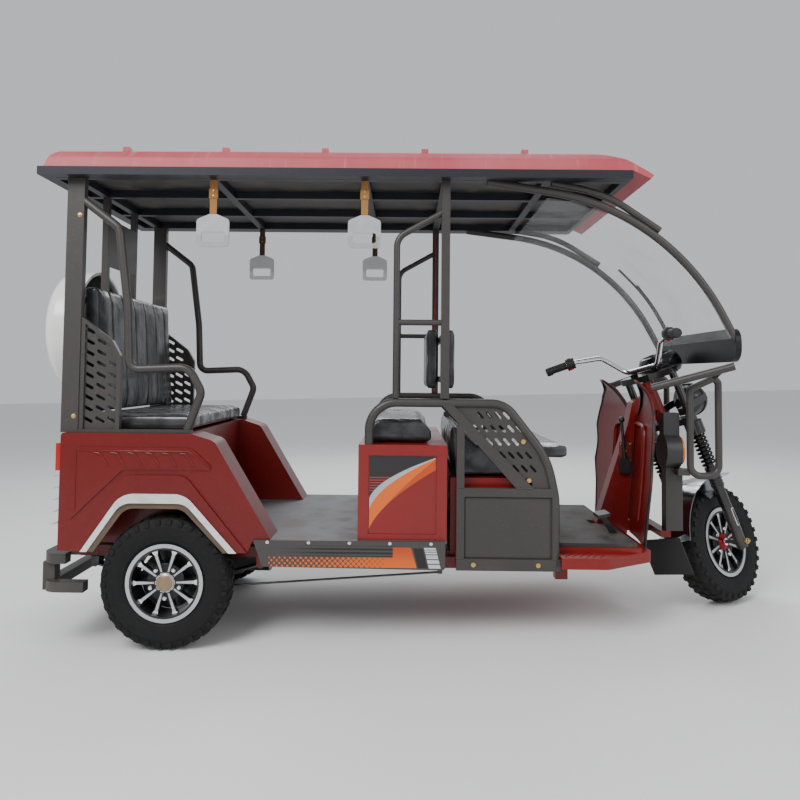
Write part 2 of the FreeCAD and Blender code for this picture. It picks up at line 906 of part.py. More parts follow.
# The side rails lie just inside the side frames.
side_rail_out = "(frame_y - hoop_tube / 2 - seat_gap)"
side_rail_y = "(frame_y - hoop_tube / 2 - seat_gap - rail_width / 2)"
side_rail_span = ("0 - " + side_rail_out, "0 - " + side_rail_out + " + rail_width")
side_rail = box("side_rail", ("side_rail_rear_x", "side_rail_front_x"), side_rail_span, rail_z)
stand_foot = box("stand_foot", ("side_rail_front_x - stand_foot", "side_rail_front_x"),
                 side_rail_span, ("stand_foot_z", "rail_top_z - rail_depth"))
floor_bearers = []
for name, place in (("bench", "cross_bench_x"), ("pillar", "cross_pillar_x")):
    floor_bearers.append(box(name + "_bearer", (place + " - rail_width / 2", place + " + rail_width / 2"),
                             ("0 - " + side_rail_y, side_rail_y),
                             ("rail_top_z", "deck_top_z - deck_thick - seat_gap")))
toe_bearer = box("toe_bearer", ("side_rail_rear_x", "side_rail_rear_x + rail_width"),
                 ("0 - " + side_rail_y, side_rail_y),
                 ("rail_top_z - rail_depth", "deck_top_z - deck_thick - seat_gap"))
neck = prism("neck", "side", ("0 - neck_half", "neck_half"), [
    ("neck_rear_x", "rail_top_z - rail_depth"), ("neck_front_x", "rail_top_z - rail_depth"),
    ("neck_bend_x", "neck_bend_z", "20"), ("neck_head_x", "neck_head_z"), ("neck_crown_x", "neck_crown_z"),
    ("neck_back_x", "neck_back_z", "20"), ("neck_shoulder_x", "neck_shoulder_z", "60")])
keel = box("keel", ("neck_front_x - 10", "nose_bar_front_x"), ("0 - neck_half", "neck_half"),
           ("keel_low_z", "keel_high_z"))
nose_bar = box("nose_bar", ("keel_front_x", "nose_bar_front_x"),
               ("0 - post_y - post_width / 2", "post_y + post_width / 2"), ("nose_bar_low_z", "keel_high_z"))
# The head tube lies on the steering axis, which is given in the untipped frame.
HEAD = link("create(<<placement>>; create(<<vector>>; rear_axle_x; 0; rear_axle_z);"
            " create(<<rotation>>; create(<<vector>>; 0; 1; 0); 0 - nose_down))"
            " * create(<<placement>>; create(<<vector>>; foot_x - rear_axle_x; 0; foot_z - rear_axle_z);"
            " create(<<rotation>>; create(<<vector>>; 0; 1; 0); 0 - rake))")


def head_cylinder(name, size, low, high):
    item = rod(name, "z", size, ("0", "0"), (low, high))
    for axis in "xyz":
        item.setExpression(f".Placement.Base.{axis}", None)
    item.setExpression("Placement", HEAD + " * " + at("0", "0", low))
    return item


steering_head = head_cylinder("steering_head", "head_tube", "head_low", "head_high")
head_bore = head_cylinder("head_bore", "stem + 2 * bearing_gap", "head_low - 60", "head_high + 60")
node("chassis_frame", cut("chassis", fuse(
    "chassis_solid", main_rail, mirrored(main_rail), side_rail, mirrored(side_rail), stand_foot,
    mirrored(stand_foot), cross_rail("tail_rail", "cross_tail_x", "rail_y"),
    cross_rail("bench_rail", "cross_bench_x", side_rail_y),
    cross_rail("pillar_rail", "cross_pillar_x", side_rail_y),
    cross_rail("driver_rail", "cross_driver_x", side_rail_y),
    cross_rail("nose_rail", "cross_nose_x", "rail_y"),
    toe_bearer, *floor_bearers, neck, keel, nose_bar, steering_head,
    cross_rail("neck_rail", "rail_front_x - rail_width / 2", "rail_y")), head_bore))

# Rear axle with its gear case and motor, on two packs of leaf springs.
axle = rod("axle_tube_solid", "y", "axle_tube", ("rear_axle_x", "rear_axle_z"), ("0 - axle_end", "axle_end"))
half_shafts = rod("half_shafts", "y", "rear_shaft", ("rear_axle_x", "rear_axle_z"),
                  ("0 - half_track - shaft_end + 3", "half_track + shaft_end - 3"))
gear_case_solid = rod("gear_case_solid", "y", "gear_case", ("rear_axle_x", "rear_axle_z"),
                      ("0 - gear_case_width / 2", "gear_case_width / 2"))
motor = rod("motor", "x", "motor_size", ("0", "rear_axle_z"),
            ("rear_axle_x + motor_start", "rear_axle_x + motor_start + motor_length"))
node("rear_axle", fuse("rear_axle_solid", axle, half_shafts, gear_case_solid, motor))

leaves = []
for count in range(int(SIZES["leaf_count"])):
    top, low = f"{count} * leaf_thick", f"({count} + 1) * leaf_thick"
    reach = "spring_reach"
    band = prism(f"leaf_{count}", "side", ("0 - rail_y - spring_width / 2",
                                           "0 - rail_y + spring_width / 2"), [
        (f"rear_axle_x - {reach}", f"spring_eye_z - {top}"),
        ("rear_axle_x", f"spring_low_z - {top}", f"spring_round + {top}"),
        (f"rear_axle_x + {reach}", f"spring_eye_z - {top}"),
        (f"rear_axle_x + {reach}", f"spring_eye_z - {low}"),
        ("rear_axle_x", f"spring_low_z - {low}", f"spring_round + {low}"),
        (f"rear_axle_x - {reach}", f"spring_eye_z - {low}")])
    if count:
        half = f"(spring_reach - {count} * leaf_step)"
        window = box(f"leaf_window_{count}", (f"rear_axle_x - {half}", f"rear_axle_x + {half}"),
                     ("0 - rail_y - spring_width", "0 - rail_y + spring_width"), ("0", "spring_eye_z"))
        band = common(f"leaf_cut_{count}", band, window)
    leaves.append(band)
for end in ("rear_axle_x - spring_reach", "rear_axle_x + spring_reach"):
    leaves.append(rod("spring_eye_rod", "y", "spring_eye", (end, "spring_eye_z"),
                      ("0 - rail_y - spring_width / 2", "0 - rail_y + spring_width / 2")))
    leaves.append(box("spring_hanger", (end + " - spring_eye / 2", end + " + spring_eye / 2"),
                      ("0 - rail_y - spring_width / 2", "0 - rail_y + spring_width / 2"),
                      ("spring_eye_z", "rail_top_z - rail_depth - seat_gap")))
leaves.append(box("spring_seat", ("rear_axle_x - axle_tube / 2", "rear_axle_x + axle_tube / 2"),
                  ("0 - rail_y - spring_width / 2", "0 - rail_y + spring_width / 2"),
                  ("spring_low_z", "rear_axle_z - axle_tube / 2 - seat_gap")))
node("leaf_springs", pair("spring_pair", fuse("spring_pack", *leaves)))

# Red tub: a hollow well over each rear wheel, with its arch, flare and pressed relief.
tub_outline = [
    ("tub_rear_x", "tub_low_z"), ("tub_rear_x", "tub_top_z", "12"), ("tub_front_x", "tub_top_z", "60"),
    ("tub_shoulder_x", "tub_shoulder_z", "40"), ("tub_toe_x", "deck_top_z + seat_gap"),
    ("sill_rear_x - 1", "deck_top_z + seat_gap"), ("tub_heel_x", "tub_low_z")]
tub_cavity = [
    ("tub_rear_x + tail_wall", "tub_low_z - 20"), ("tub_rear_x + tail_wall", "tub_top_z - well_wall"),
    ("tub_front_x - well_wall", "tub_top_z - well_wall", "55"),
    ("tub_shoulder_x - well_wall", "tub_shoulder_z - well_wall", "36"),
    ("tub_toe_x - 3 * well_wall", "deck_top_z + 2 * well_wall"),
    ("tub_heel_x - well_wall", "tub_low_z - 20")]
arch_outline = [
    ("arch_rear_x", "tub_low_z - 20"), ("arch_top_rear_x", "arch_top_z", "arch_bend"),
    ("arch_top_front_x", "arch_top_z", "arch_bend"), ("arch_front_x", "tub_low_z - 20")]
flare_outline = [
    ("flare_rear_x", "tub_low_z"), ("flare_top_rear_x", "flare_top_z", "60"),
    ("flare_top_front_x", "flare_top_z", "60"), ("flare_front_x - 12", "tub_low_z")]
relief_outline = [
    ("relief_rear_x", "relief_tail_z"), ("relief_rear_x", "relief_top_z", "20"),
    ("relief_front_x", "relief_top_z", "60"), ("relief_nose_x", "relief_low_z", "10"),
    ("flare_top_rear_x", "relief_low_z", "40")]
tub = cut("tub_hollow", prism("tub_block", "side", ("0 - tub_y", "0 - well_y"), tub_outline),
          prism("tub_space", "side", ("0 - tub_y + tub_wall", "0 - well_y - well_wall"), tub_cavity))
flare = prism("flare", "side", ("0 - tub_y - flare_proud", "0 - tub_y"), flare_outline)
relief = prism("relief_panel", "side", ("0 - tub_y - relief", "0 - tub_y"), relief_outline)
arch = prism("arch", "side", ("0 - tub_y - 2 * flare_proud", "0 - tub_y + tub_wall"), arch_outline)
node("quarter_panels", pair("tub_pair", cut("tub_side", fuse("tub_solid", tub, flare, relief), arch)))

node("arch_trims", pair("trim_pair", prism(
    "arch_trim_ring", "side",
    ("0 - tub_y - flare_proud - seat_gap - arch_trim_proud", "0 - tub_y - flare_proud - seat_gap"), [
        ("arch_rear_x - 24", "tub_low_z"), ("arch_top_rear_x - 1", "arch_top_z + arch_trim",
                                            "arch_bend + 20"),
        ("arch_top_front_x - 1", "arch_top_z + arch_trim", "arch_bend + 20"),
        ("arch_front_x + 29", "tub_low_z"),
        ("arch_front_x", "tub_low_z"), ("arch_top_front_x", "arch_top_z", "arch_bend"),
        ("arch_top_rear_x", "arch_top_z", "arch_bend"), ("arch_rear_x", "tub_low_z")])))

inner_y = ("0 - well_y + seat_gap", "well_y - seat_gap")
riser = box("riser", ("riser_x - tub_wall", "riser_x"), inner_y, ("deck_top_z + seat_gap", "tub_top_z"))
shelf = box("shelf", ("tub_rear_x + tail_wall + seat_gap", "riser_x"), inner_y,
            ("tub_top_z - seat_shelf", "tub_top_z"))
node("seat_base", fuse("seat_base_solid", riser, shelf))

louvres = []
for count in range(int(SIZES["louvre_count"])):
    height = f"louvre_low_z + {count} * louvre_pitch"
    louvres.append(prism(f"louvre_{count}", "side", ("0 - louvre_half", "louvre_half"), [
        ("tub_rear_x", height), ("tub_rear_x", f"{height} + 2 * louvre_thick"),
        ("tub_rear_x - louvre_reach", f"{height} - louvre_droop + louvre_thick"),
        ("tub_rear_x - louvre_reach", f"{height} - louvre_droop")]))
tail_sheet = box("tail_sheet", ("tub_rear_x", "tub_rear_x + tail_wall"), inner_y, ("tub_low_z", "tub_top_z"))
node("tail_panel", fuse("tail_panel_solid", tail_sheet, *louvres))
lamp_block = box("tail_lamp", ("tub_rear_x - seat_gap - tail_lamp_depth", "tub_rear_x - seat_gap"),
                 ("0 - lamp_y - tail_lamp_width / 2", "0 - lamp_y + tail_lamp_width / 2"),
                 ("tail_lamp_z - tail_lamp_height / 2", "tail_lamp_z + tail_lamp_height / 2"))
node("tail_lamps", pair("tail_lamp_pair", lamp_block))

# Rear bumper: two channels that bend round the corners, joined by uprights.
def bumper_channel(name, front, low):
    inner = "bumper_half - bumper_section"
    return prism(name, "plan", (low, low + " + bumper_depth"), [
        (front, "0 - bumper_half"), ("bumper_rear_x", "0 - bumper_half", "bumper_bend"),
        ("bumper_rear_x", "bumper_half", "bumper_bend"), (front, "bumper_half"), (front, inner),
        ("bumper_rear_x + bumper_section", inner, "bumper_bend - bumper_section"),
        ("bumper_rear_x + bumper_section", "0 - (" + inner + ")", "bumper_bend - bumper_section"),
        (front, "0 - (" + inner + ")")])


upper_channel = bumper_channel("upper_channel", "bumper_upper_x", "bumper_upper_z")
lower_channel = bumper_channel("lower_channel", "bumper_lower_x", "bumper_low_z")
upright = box("bumper_upright", ("bumper_rear_x", "bumper_rear_x + bumper_section"),
              ("0 - bumper_upright_y - bumper_section / 2", "0 - bumper_upright_y + bumper_section / 2"),
              ("bumper_low_z", "bumper_upper_z"))
bumper_arm = box("bumper_arm", ("bumper_rear_x + bumper_section / 2", "rail_rear_x - seat_gap"),
                 ("0 - rail_y - rail_width / 2", "0 - rail_y + rail_width / 2"),
                 ("bumper_upper_z", "rail_top_z"))
node("rear_bumper", fuse("bumper_solid", upper_channel, lower_channel, upright, mirrored(upright),
                         bumper_arm, mirrored(bumper_arm)))

# Rear frame: pillars on the tub, window bars, a blank sign plate and the carrier of the spare wheel.
pillar_y = ("0 - frame_y - pillar_width / 2", "0 - frame_y + pillar_width / 2")
frame_depth = ("rear_pillar_x", "rear_pillar_x + window_bar")
rear_pillar = box("rear_pillar", ("rear_pillar_x", "rear_pillar_x + rear_pillar_depth"), pillar_y,
                  ("tub_top_z + seat_gap", "roof_frame_z - seat_gap"))
window_bars = [
    box("window_sill", frame_depth, ("0 - frame_y", "frame_y"),
        ("window_low_z", "window_low_z + window_bar")),
    box("carrier_bar", frame_depth, ("0 - frame_y", "frame_y"),
        ("carrier_low_z", "carrier_low_z + window_bar")),
    box("carrier_plate", frame_depth, ("0 - carrier_half", "carrier_half"),
        ("carrier_low_z", "window_low_z"))]
for side in ("0 - ", ""):
    window_bars.append(box("window_post", frame_depth,
                           (side + "window_bar_y - window_bar / 2", side + "window_bar_y + window_bar / 2"),
                           ("window_low_z", "roof_frame_z - seat_gap")))
sign = box("sign_plate", ("rear_pillar_x + window_bar - sign_thick", "rear_pillar_x + window_bar"),
           ("0 - window_bar_y", "window_bar_y"), ("sign_low_z", "sign_high_z"))
spare_post = rod("spare_post", "x", "carrier_post", ("0", "spare_z"),
                 ("spare_x", "rear_pillar_x + window_bar / 2"))
spare_hub = rod("spare_plate_disc", "x", "bead_diameter - 2 * seat_gap", ("0", "spare_z"),
                ("spare_x - spare_plate / 2", "spare_x + spare_plate / 2"))
node("rear_frame", fuse("rear_frame_solid", rear_pillar, mirrored(rear_pillar), *window_bars, sign,
                        spare_post, spare_hub))

SPARE = TIPPED + " * " + at("spare_x", "0", "spare_z", "90")
node("spare_tyre", tyre("tyre_spare"), SPARE)
cover_in, cover_out = "tyre_diameter / 2 + seat_gap", "tyre_diameter / 2 + seat_gap + cover_wall"
node("spare_cover", turned("cover", [
    (cover_in, "0 - cover_front"), (cover_out, "0 - cover_front"), (cover_out, "cover_shoulder", "50"),
    ("cover_out_mid", "cover_dome - cover_fall", "160"), ("0", "cover_dome"),
    ("0", "cover_dome - cover_wall"),
    ("cover_out_mid - cover_wall / 2", "cover_dome - cover_fall - cover_wall", "150"),
    (cover_in, "cover_shoulder - cover_wall / 2", "40")]), SPARE)

# Perforated guards beside the rear seat, standing on dark rails along the tub, and the grab rails.
guard_y_low, guard_y_high = "0 - frame_y - guard_thick / 2", "0 - frame_y + guard_thick / 2"
guard_rear = "rear_pillar_x + rear_pillar_depth + seat_gap"
guard_foot = "tub_top_z + seat_gap + deck_rail / 2"
guard_outline = [(guard_rear, guard_foot), (guard_rear, "guard_rear_z"),
                 ("guard_bend_x", "guard_bend_z", "25"), ("guard_front_x", "guard_front_z", "25"),
                 ("guard_front_x", guard_foot)]
guard_inside = [(guard_rear + " + guard_edge", "tub_top_z"),
                (guard_rear + " + guard_edge", "guard_rear_z - 1.7 * guard_edge"),
                ("guard_bend_x - guard_edge / 2", "guard_bend_z - guard_edge", "15"),
                ("guard_front_x - guard_edge", "guard_front_z - guard_edge / 2", "15"),
                ("guard_front_x - guard_edge", "tub_top_z")]
guard_edges = frame_ring("guard_edges", "side",
                         ("0 - frame_y - guard_edge_depth / 2", "0 - frame_y + guard_edge_depth / 2"),
                         guard_outline, guard_inside)
guard_rows = []
for row, count in enumerate((3, 3, 3, 3, 3, 3, 2, 2, 1)):
    for column in range(count):
        guard_rows.append((f"guard_slot_x + {column} * guard_slot_pitch",
                           f"guard_slot_z + {row} * guard_slot_rise"))
guard_sheet = cut("guard_sheet", prism("guard_plate", "side", (guard_y_low, guard_y_high), guard_outline),
                  slots("guard_slots", guard_rows, "guard_slot", "guard_slot_width", "guard_slot_lean",
                        ("0 - frame_y - guard_thick", "0 - frame_y + guard_thick")))
deck_rail = box("deck_rail_bar", (guard_rear, "deck_rail_front_x"), pillar_y,
                ("tub_top_z + seat_gap", "tub_top_z + seat_gap + deck_rail"))
node("rear_side_guards", pair("guard_pair", fuse("guard_solid", guard_edges, guard_sheet, deck_rail)))

grab = tube("grab", "side", "0 - frame_y", [
    ("grab_top_x", "grab_top_z"), ("grab_bend_x", "grab_bend_z", "45"), ("grab_knee_x", "grab_knee_z", "400"),
    ("grab_dip_x", "grab_dip_z", "40"), ("grab_crest_x", "grab_crest_z", "60"),
    ("grab_fore_x", "grab_fore_z", "45"),
    ("grab_foot_x", "tub_top_z + deck_rail + 2 * seat_gap")], "grab_tube")
pillar_front = box("pillar_side", ("rear_pillar_x - 60", guard_rear),
                   ("0 - frame_y - pillar_width", "0 - frame_y + pillar_width"),
                   ("grab_dip_z", "roof_crown_z"))
rail_top = box("rail_zone", ("grab_crest_x - 60", "grab_fore_x + 60"),
               ("0 - frame_y - pillar_width", "0 - frame_y + pillar_width"),
               ("tub_top_z - 60", "tub_top_z + deck_rail + 2 * seat_gap"))
node("grab_rails", pair("grab_pair", cut("grab_trimmed", grab, group("grab_ends", pillar_front, rail_top))))

# Passenger seats: the rear seat on the tub, and the rear-facing bench on the red box.
seat_y = ("0 - seat_half", "seat_half")
node("rear_cushion", prism("rear_cushion_pad", "side", seat_y, [
    ("rear_back_rear_x", "tub_top_z + seat_gap"), ("rear_back_rear_x", "rear_cushion_top_z"),
    ("riser_x + 12", "rear_cushion_top_z", "soft_round"), ("riser_x + 12", "tub_top_z + seat_gap", "15")]))
node("rear_backrest", prism("rear_back_pad", "side", seat_y, [
    ("rear_back_rear_x", "rear_cushion_top_z + seat_gap"),
    ("rear_back_rear_x", "rear_back_top_z", "soft_round"),
    ("rear_back_head_x", "rear_back_top_z", "soft_round"),
    ("rear_back_foot_x", "rear_cushion_top_z + seat_gap")]))
box_side = ("0 - box_y", "box_y")
box_block = box("box_block", ("box_rear_x", "box_front_x"), box_side, ("deck_top_z + seat_gap", "box_top_z"))
box_space = box("box_space", ("box_rear_x + box_wall", "box_front_x - box_wall"),
                ("0 - box_y + box_wall", "box_y - box_wall"), ("deck_top_z - 10", "box_top_z - box_wall"))
box_panel = box("box_panel", ("box_rear_x + box_edge", "box_front_x - box_edge"),
                ("0 - box_y - 10", "0 - box_y + box_recess"),
                ("deck_top_z + box_edge - 16", "box_top_z - box_edge"))
node("middle_box", cut("box_panelled", cut("box_hollow", box_block, box_space),
                       group("box_panels", box_panel, mirrored(box_panel))))
node("battery_pack", group("battery_block", box("battery",
                                                ("box_rear_x + battery_margin",
                                                 "box_front_x - battery_margin"),
                         ("0 - box_y + battery_margin", "box_y - battery_margin"),
                         ("deck_top_z + seat_gap", "battery_top_z"))))
node("bench_cushion", prism("bench_pad", "side", seat_y, [
    ("bench_rear_x", "box_top_z + seat_gap"), ("bench_rear_x", "bench_top_z - bench_chamfer", "15"),
    ("bench_rear_x + bench_chamfer", "bench_top_z", "15"),
    ("bench_front_x - bench_chamfer", "bench_top_z", "15"),
    ("bench_front_x", "bench_top_z - bench_chamfer", "15"), ("bench_front_x", "box_top_z + seat_gap")]))

# Floor between the tub and the box, and the sills along its sides.
node("floor_deck", prism("deck_sheet", "plan", ("deck_top_z - deck_thick", "deck_top_z"), [
    ("deck_rear_x", "0 - well_y + 2"), ("tub_toe_x + seat_gap", "0 - well_y + 2"),
    ("tub_toe_x + seat_gap", "0 - sill_y + sill_thick + seat_gap"),
    ("deck_front_x", "0 - sill_y + sill_thick + seat_gap"),
    ("deck_front_x", "sill_y - sill_thick - seat_gap"),
    ("tub_toe_x + seat_gap", "sill_y - sill_thick - seat_gap"),
    ("tub_toe_x + seat_gap", "well_y - 2"), ("deck_rear_x", "well_y - 2")]))
node("sill_plates", pair("sill_pair", prism("sill", "side", ("0 - sill_y", "0 - sill_y + sill_thick"), [
    ("sill_rear_x", "deck_top_z"), ("sill_front_x", "deck_top_z"), ("sill_front_x", "sill_low_z", "12"),
    ("sill_rear_x + sill_slope", "sill_low_z + 6")])))

# Driver's seat on its own red box.
driver_block = box("driver_block", ("driver_box_rear_x", "driver_box_front_x"),
                   ("0 - driver_box_y", "driver_box_y"),
                   ("step_low_z + step_thick + seat_gap", "driver_box_top_z"))
driver_space = box("driver_space", ("driver_box_rear_x + box_wall", "driver_box_front_x - box_wall"),
                   ("0 - driver_box_y + box_wall", "driver_box_y - box_wall"),
                   ("step_low_z", "driver_box_top_z - box_wall"))
node("driver_seat_box", cut("driver_box_hollow", driver_block, driver_space))
node("driver_cushion", prism("driver_pad", "side", ("0 - driver_half", "driver_half"), [
    ("driver_box_rear_x", "driver_box_top_z + seat_gap"),
    ("driver_box_front_x", "driver_box_top_z + seat_gap"),
    ("driver_lip_x", "driver_cushion_low_z", "20"),
    ("driver_cushion_front_x", "driver_cushion_low_z", "soft_round / 2"),
    ("driver_cushion_front_x", "driver_cushion_top_z", "soft_round / 2"),
    ("driver_hump_end_x", "driver_cushion_top_z", "50"), ("driver_hump_top_x", "driver_hump_z", "10"),
    ("driver_box_rear_x", "driver_hump_z", "8")]))

# Middle frame on each side: a pillar, a hoop that a grab loop stands on, and the side panel below.
pillar_span = ("middle_pillar_x", "middle_pillar_x + middle_pillar_depth")
middle_pillar = box("middle_pillar", pillar_span, pillar_y,
                    ("hoop_top_z + hoop_tube / 2 + seat_gap", "roof_frame_z - seat_gap"))
back_bars = [rod(f"back_bar_{place}", "y", "back_bar", ("middle_pillar_x + middle_pillar_depth / 2", place),
                 ("0 - frame_y", "frame_y")) for place in ("back_bar_low_z", "back_bar_high_z")]
node("middle_pillars", fuse("middle_pillar_solid", middle_pillar, mirrored(middle_pillar), *back_bars))

hoop = tube("hoop", "side", "0 - frame_y", [
    ("hoop_rear_x", "box_top_z + seat_gap"), ("hoop_rear_x", "hoop_top_z", "hoop_bend"),
    ("hoop_knee_x", "hoop_top_z", "hoop_bend"), ("hoop_fore_x", "hoop_fore_z", "300"),
    ("hoop_foot_x", "hoop_shin_z", "200"), ("hoop_foot_x", "side_low_z + hoop_tube / 2")], "hoop_tube")
side_span = ("0 - frame_y - side_width / 2", "0 - frame_y + side_width / 2")
sheet_span = ("0 - frame_y - side_sheet / 2", "0 - frame_y + side_sheet / 2")
post_front = "side_rear_x + side_post"
brace_line = [("brace_top_x", "hoop_top_z"), ("brace_top_x + brace_width_x", "hoop_top_z"),
              ("brace_foot_end_x", "mid_rail_top_z"), ("brace_foot_x", "mid_rail_top_z")]
side_pieces = [
    hoop,
    box("side_post", ("side_rear_x", post_front), side_span, ("side_low_z", "hoop_fore_z + 122")),
    box("side_foot_rail", ("side_rear_x", "hoop_foot_x + hoop_tube / 2"), side_span,
        ("side_low_z", "side_rail_top_z")),
    box("side_mid_rail", ("side_rear_x", "hoop_foot_x"), side_span, ("mid_rail_z", "mid_rail_top_z")),
    prism("side_brace", "side", side_span, brace_line),
    box("side_lower_sheet", ("side_rear_x", "hoop_foot_x"), sheet_span, ("side_low_z", "mid_rail_z")),
    box("side_blank", (post_front + " + side_panel_inset", "hoop_foot_x - hoop_tube / 2 - side_panel_inset"),
        ("0 - frame_y - side_sheet", "0 - frame_y"),
        ("side_rail_top_z + side_panel_inset", "mid_rail_z - side_panel_inset"))]
slot_rows = [(f"slot_first_x + {count} * slot_pitch", "slot_first_z") for count in range(4)]
for row, count in enumerate((6, 4, 4, 3, 1)):
    for column in range(count):
        slot_rows.append((f"slot_second_x + {row} * slot_step + {column} * slot_pitch",
                          f"slot_first_z - {row + 1} * slot_rise"))
upper_sheet = prism("side_upper_sheet", "side", sheet_span, [
    ("brace_top_x + brace_width_x", "hoop_top_z"), ("hoop_knee_x", "hoop_top_z", "hoop_bend"),
    ("hoop_fore_x", "hoop_fore_z"), ("hoop_foot_x", "mid_rail_z"), ("brace_foot_end_x - 30", "mid_rail_z")])
side_pieces.append(cut("side_upper_pierced", upper_sheet, slots(
    "side_slots", slot_rows, "slot_long", "slot_wide", "slot_lean",
    ("0 - frame_y - side_sheet", "0 - frame_y + side_sheet"))))
node("side_frames", pair("side_frame_pair", fuse("side_frame_solid", *side_pieces)))

loop = tube("loop", "side", "0 - frame_y", [
    ("middle_pillar_x + 8", "loop_top_z + 6"), ("loop_x", "loop_bend_z", "loop_bend"),
    ("loop_x", "hoop_top_z + hoop_tube / 2 + seat_gap")], "loop_tube")
loop_bar = rod("loop_bar", "x", "loop_bar_tube", ("0 - frame_y", "loop_cross_z"),
               ("loop_x", "middle_pillar_x + 8"))
pillar_zone = box("pillar_zone", ("middle_pillar_x - seat_gap", "middle_pillar_x + 2 * middle_pillar_depth"),
                  ("0 - frame_y - pillar_width", "0 - frame_y + pillar_width"),
                  ("loop_cross_z - 60", "roof_frame_z"))
node("grab_loops", pair("loop_pair", cut("loop_trimmed", fuse("loop_solid", loop, loop_bar), pillar_zone)))

# Two backrests on the bars between the middle pillars, one for the bench and one for the driver.
back_face = "middle_pillar_x + middle_pillar_depth / 2"
backs = []
for name, low, high in (("bench_back", "bench_back_x", back_face + " - back_bar / 2 - seat_gap"),
                        ("driver_back", back_face + " + back_bar / 2 + seat_gap", "driver_back_x")):
    backs.append(prism(name, "front", (low, high), [
        ("0 - back_half", "back_low_z", "30"), ("back_half", "back_low_z", "30"),
        ("back_half", "back_top_z", "30"), ("0 - back_half", "back_top_z", "30")]))
node("seat_backs", group("seat_back_pair", *backs))

# Roof: a thin shell with a drooping nose, its liner, and a frame of tubes with dark eaves.
roof_long = [
    ("roof_rear_x", "roof_edge_z + seat_gap"), ("roof_heel_x", "roof_heel_z", "roof_round"),
    ("roof_crown_x", "roof_crown_z", "9000"), ("roof_brow_x", "roof_brow_z", "120"),
    ("roof_fall_x", "roof_fall_z", "160"), ("roof_nose_x", "roof_nose_z"), ("roof_lip_x", "roof_lip_z"),
    ("roof_under_x", "roof_edge_z + seat_gap")]
roof_long_in = [
    ("roof_rear_x + roof_wall", "roof_lip_z"), ("roof_rear_x + roof_wall", "roof_edge_z + roof_wall / 2"),
    ("roof_heel_x + roof_wall", "roof_heel_z - roof_wall", "roof_round - roof_wall"),
    ("roof_crown_x", "roof_crown_z - roof_wall", "9000"),
    ("roof_brow_x - 4", "roof_brow_z - roof_wall", "110"),
    ("roof_fall_x - 6", "roof_fall_z - roof_wall", "150"),
    ("roof_under_x + 10", "roof_edge_z + 3 * roof_wall"), ("roof_under_x - roof_wall", "roof_lip_z")]


def roof_wide(margin):
    """The roof's cross-section, drawn in by a margin."""
    return [(f"0 - roof_y + {margin}", "roof_lip_z"), (f"0 - roof_y + {margin}", "roof_edge_z"),
            (f"0 - roof_side_y + {margin}", "roof_side_z", "roof_round"),
            (f"0 - roof_shoulder_y + {margin}", f"roof_crown_z - {margin}", "80"),
            (f"roof_shoulder_y - {margin}", f"roof_crown_z - {margin}", "80"),
            (f"roof_side_y - {margin}", "roof_side_z", "roof_round"),
            (f"roof_y - {margin}", "roof_edge_z"), (f"roof_y - {margin}", "roof_lip_z")]


roof_full = ("0 - roof_y - 10", "roof_y + 10")
roof_run = ("roof_rear_x - 10", "roof_nose_x + 10")
roof_out = common("roof_out", prism("roof_side_out", "side", roof_full, roof_long),
                  prism("roof_front_out", "front", roof_run, roof_wide("0")))
roof_in = common("roof_in", prism("roof_side_in", "side", roof_full, roof_long_in),
                 prism("roof_front_in", "front", roof_run, roof_wide("roof_wall")))
lugs, lug_holes = [], []
for count in range(5):
    lug_x = f"roof_lug_rear_x + {count} * roof_lug_pitch"
    lugs.append(box(f"roof_lug_{count}", (lug_x + " - roof_lug / 2", lug_x + " + roof_lug / 2"),
                    ("0 - roof_lug_y - roof_lug / 2", "0 - roof_lug_y + roof_lug / 2"),
                    ("roof_heel_z - roof_wall", "roof_crown_z + roof_lug_height")))
    lug_holes.append(rod(f"lug_hole_{count}", "z", "roof_lug_hole", (lug_x, "0 - roof_lug_y"),
                         ("roof_edge_z + 20", "roof_crown_z + 2 * roof_lug_height")))
lug_row, hole_row = group("lug_row", *lugs), group("hole_row", *lug_holes)
node("roof_shell", cut("roof_drilled", fuse("roof_lugged", cut("roof_hollow", roof_out, roof_in), lug_row,
                                            mirrored(lug_row)),
                       group("lug_bores", hole_row, mirrored(hole_row))))

beam_z = ("roof_frame_z", "roof_edge_z - seat_gap")
eave_ring = frame_ring("eaves", "plan", ("roof_frame_z", "roof_edge_z"), [
    ("eave_rear_x", "0 - eave_y"), ("eave_front_x", "0 - eave_y"), ("eave_front_x", "eave_y"),
    ("eave_rear_x", "eave_y")], [
    ("eave_rear_x + eave_width", "0 - eave_y + eave_width"),
    ("eave_front_x - eave_width / 2", "0 - eave_y + eave_width"),
    ("eave_front_x - eave_width / 2", "eave_y - eave_width"),
    ("eave_rear_x + eave_width", "eave_y - eave_width")])
roof_tubes = []
for place in ("0 - frame_y", "0 - roof_beam_y", "roof_beam_y", "frame_y"):
    roof_tubes.append(box("roof_rail", ("eave_rear_x + eave_width", "eave_front_x - eave_width / 2"),
                          (place + " - roof_beam / 2", place + " + roof_beam / 2"), beam_z))
for place in ("rear_pillar_x + roof_beam / 2", "cross_rear_grip_x", "cross_front_grip_x",
              "middle_pillar_x + roof_beam / 2", "cross_brow_x"):
    roof_tubes.append(box("roof_cross", (place + " - roof_beam / 2", place + " + roof_beam / 2"),
                          ("0 - eave_y + eave_width", "eave_y - eave_width"), beam_z))
node("roof_frame", fuse("roof_frame_solid", eave_ring, *roof_tubes))
node("roof_liner", group("liner_sheet", box("liner",
                                            ("roof_rear_x + 3 * roof_wall", "roof_under_x - 3 * roof_wall"),
                       ("0 - roof_y + 3 * roof_wall", "roof_y - 3 * roof_wall"),
                       ("roof_edge_z", "roof_edge_z + liner_thick"))))

